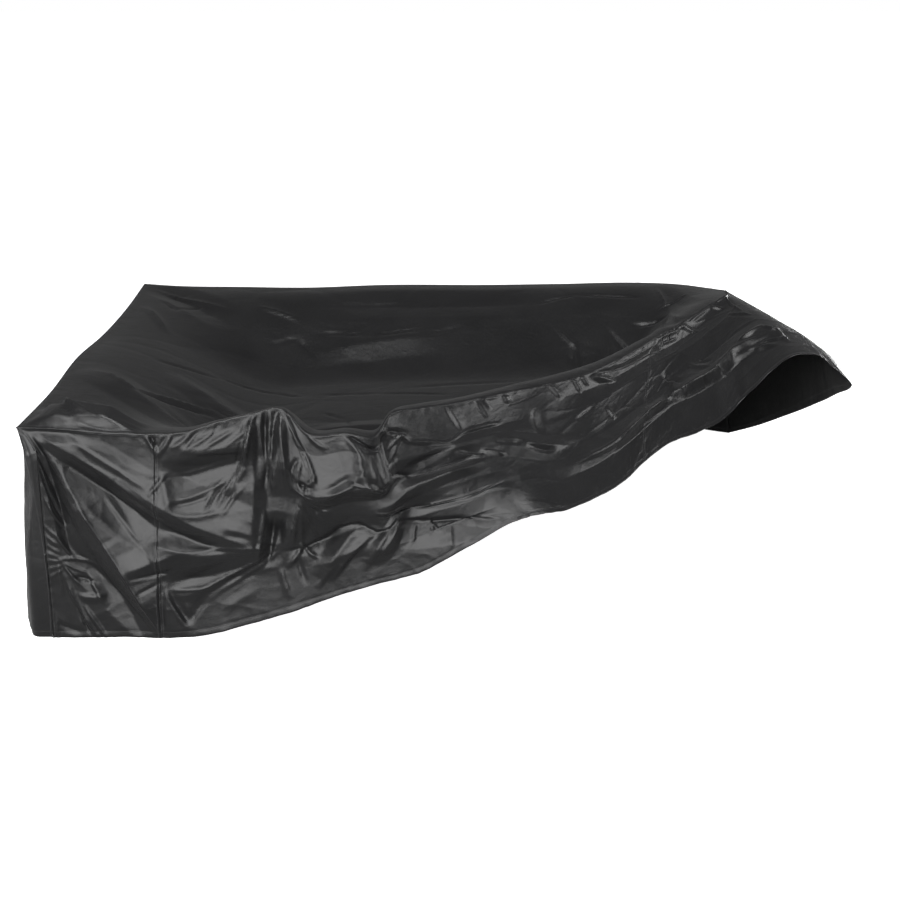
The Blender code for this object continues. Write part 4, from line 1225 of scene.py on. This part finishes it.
class ClothLook(bpy.types.PropertyGroup):
    """The colours and the surface of the cloth."""

    cloth_dark: bpy.props.FloatVectorProperty(
        name="Dark cloth", description="Colour of the cloth's darker patches", subtype="COLOR", size=4,
        min=0.0, max=1.0, default=(0.005, 0.005, 0.0054, 1.0),
    )
    cloth_light: bpy.props.FloatVectorProperty(
        name="Light cloth", description="Colour of the cloth's lighter patches", subtype="COLOR", size=4,
        min=0.0, max=1.0, default=(0.008, 0.008, 0.0084, 1.0),
    )
    # The lighter colour on the crease ridges: partly rubbed wear, partly a painted highlight
    crease_wear_and_highlight_colour: bpy.props.FloatVectorProperty(
        name="Creases", description="Colour of the rubbed creases", subtype="COLOR", size=4,
        min=0.0, max=1.0, default=(0.032, 0.032, 0.033, 1.0),
    )
    thread_colour: bpy.props.FloatVectorProperty(
        name="Thread", description="Colour of the stitches", subtype="COLOR", size=4,
        min=0.0, max=1.0, default=(0.030, 0.030, 0.031, 1.0),
    )
    roughness: bpy.props.FloatProperty(
        name="Roughness", description="Roughness of the coating", min=0.0, max=1.0, default=0.32
    )
    gloss: bpy.props.FloatProperty(
        name="Gloss", description="Strength of the coating's reflections", min=0.0, max=1.0, default=0.42
    )
    sheen: bpy.props.FloatProperty(
        name="Sheen", description="Strength of the yarns' sheen", min=0.0, max=1.0, default=0.05
    )
    weave_pitch: bpy.props.FloatProperty(
        name="Weave", description="Distance from one yarn to the next but one", default=0.0014, unit="LENGTH"
    )
    weave_depth: bpy.props.FloatProperty(
        name="Weave depth", description="Height of the yarns", default=0.00008, unit="LENGTH"
    )
    crease_depth: bpy.props.FloatProperty(
        name="Crease depth", description="Height of the smallest creases", default=0.0008, unit="LENGTH"
    )
    dent_depth: bpy.props.FloatProperty(
        name="Dent depth", description="Height of the dents between creases", default=0.0005, unit="LENGTH"
    )
    stitch_pitch: bpy.props.FloatProperty(
        name="Stitches", description="Distance from one stitch to the next", default=0.0045, unit="LENGTH"
    )


class StudioLook(bpy.types.PropertyGroup):
    """The floor, the lights and the camera."""

    floor_colour: bpy.props.FloatVectorProperty(
        name="Floor", description="Colour of the floor", subtype="COLOR", size=4,
        min=0.0, max=1.0, default=(0.86, 0.86, 0.86, 1.0),
    )
    surround: bpy.props.FloatProperty(
        name="Surround", description="Brightness of the light from all round", default=0.08, min=0.0
    )
    overhead: bpy.props.FloatProperty(
        name="Overhead light", description="Power of the soft light above, in watts", default=300.0, min=0.0
    )
    key_power: bpy.props.FloatProperty(
        name="Front light", description="Power of the light in front, in watts", default=1080.0, min=0.0
    )
    side_power: bpy.props.FloatProperty(
        name="Right light", description="Power of the light on the right, in watts", default=130.0, min=0.0
    )
    left_power: bpy.props.FloatProperty(
        name="Left light", description="Power of the light on the left, in watts", default=120.0, min=0.0
    )
    back_power: bpy.props.FloatProperty(
        name="Back light", description="Power of the light behind, in watts", default=200.0, min=0.0
    )
    lens: bpy.props.FloatProperty(
        name="Lens", description="Focal length of the camera, in millimetres", default=52.48, min=1.0
    )


class COVER_OT_top_panel(bpy.types.Operator):
    """Make the top panel, which sags between the rims"""

    bl_idname = "cover.top_panel"
    bl_label = "Top Panel"

    def execute(self, context):
        sizes, look = context.scene.cover_sizes, context.scene.cloth_look
        end = SECTION_KNOTS[THROWN_BACK_CORNER]
        rows, places = fine_top_panel(np.linspace(0, end, int(end / TOP_STEP) + 1))
        lines = [("across", BACK - TOP_STITCHES), ("across", FRONT + TOP_STITCHES)]
        cloth = coated_cloth("top_cloth", look, lines)
        cloth_panel("top_cover", rows, places, "top_panel", cloth)
        return {"FINISHED"}


class COVER_OT_front_walls(bpy.types.Operator):
    """Make the corner panel, the front panel and the right wall, with the thrown-back corner"""

    bl_idname = "cover.front_walls"
    bl_label = "Front and Right Walls"

    def execute(self, context):
        sizes, look = context.scene.cover_sizes, context.scene.cloth_look
        knots, seams = panel_knots()
        rows, places = wall_rows(knots, seams[:-1])
        panels = (
            ("corner_cover", "front_corner_panel", (sizes.corner_panel_width, sizes.height)),
            ("front_cover", "front_panel", (sizes.width - sizes.corner_panel_width, sizes.height)),
            ("right_cover", "right_wall", (sizes.depth, sizes.height)),
        )
        for (name, node, flat), first, last in zip(panels, seams[:-1], seams[1:]):
            lines = sewn_edges(sizes.height)
            lines += [("down", knots[first] + WALL_STITCHES), ("down", knots[last] - WALL_STITCHES)]
            cloth = coated_cloth(name + "_cloth", look, lines)
            part = slice(first, last + 1)
            cloth_panel(name, rows[:, part], places[:, part], node, cloth)
        return {"FINISHED"}


class COVER_OT_left_wall(bpy.types.Operator):
    """Make the left wall, which wraps a little way round the front corner"""

    bl_idname = "cover.left_wall"
    bl_label = "Left Wall"

    def execute(self, context):
        sizes, look = context.scene.cover_sizes, context.scene.cloth_look
        knots, _ = panel_knots()
        corner, _ = wall_rows(knots[:LEFT_EDGE_COLUMNS], [0] * LEFT_EDGE_LAYERS)
        rows, places = fine_left_wall(corner[:, 0])
        cloth = coated_cloth("left_cloth", look, sewn_edges(sizes.height) + [("down", WALL_STITCHES)])
        cloth_panel("left_cover", rows, places, "left_wall", cloth)
        return {"FINISHED"}


class COVER_OT_back_wall(bpy.types.Operator):
    """Make the back wall"""

    bl_idname = "cover.back_wall"
    bl_label = "Back Wall"

    def execute(self, context):
        sizes, look = context.scene.cover_sizes, context.scene.cloth_look
        rows, places = fine_back_wall()
        cloth = coated_cloth("back_cloth", look, sewn_edges(sizes.height))
        cloth_panel("back_cover", rows, places, "back_wall", cloth)
        return {"FINISHED"}


class COVER_OT_stage(bpy.types.Operator):
    """Make the floor, the lights and the camera"""

    bl_idname = "cover.stage"
    bl_label = "Stage"

    def execute(self, context):
        studio = context.scene.studio_look
        pale_floor(studio)
        white_surround(studio.surround)
        for setting in SOFT_LIGHTS:
            soft_light(setting, getattr(studio, setting.power))
        photo_camera(studio)
        context.scene.view_settings.view_transform = "Standard"
        return {"FINISHED"}


class COVER_PT_panel(bpy.types.Panel):
    """The cover's steps, in order"""

    bl_label = "Patio Furniture Cover"
    bl_idname = "COVER_PT_panel"
    bl_space_type = "VIEW_3D"
    bl_region_type = "UI"
    bl_category = "Cover"

    def draw(self, context):
        for step in STEPS:
            self.layout.operator(step.bl_idname)


STEPS = (
    COVER_OT_top_panel,
    COVER_OT_front_walls,
    COVER_OT_left_wall,
    COVER_OT_back_wall,
    COVER_OT_stage,
)
SETTINGS = (CoverSizes, ClothLook, StudioLook)


def register():
    for kind in SETTINGS + STEPS + (COVER_PT_panel,):
        bpy.utils.register_class(kind)
    bpy.types.Scene.cover_sizes = bpy.props.PointerProperty(type=CoverSizes)
    bpy.types.Scene.cloth_look = bpy.props.PointerProperty(type=ClothLook)
    bpy.types.Scene.studio_look = bpy.props.PointerProperty(type=StudioLook)


def unregister():
    del bpy.types.Scene.studio_look
    del bpy.types.Scene.cloth_look
    del bpy.types.Scene.cover_sizes
    for kind in reversed(SETTINGS + STEPS + (COVER_PT_panel,)):
        bpy.utils.unregister_class(kind)


def main():
    register()
    bpy.ops.cover.top_panel()
    bpy.ops.cover.front_walls()
    bpy.ops.cover.left_wall()
    bpy.ops.cover.back_wall()
    bpy.ops.cover.stage()


if __name__ == "__main__":
    main()
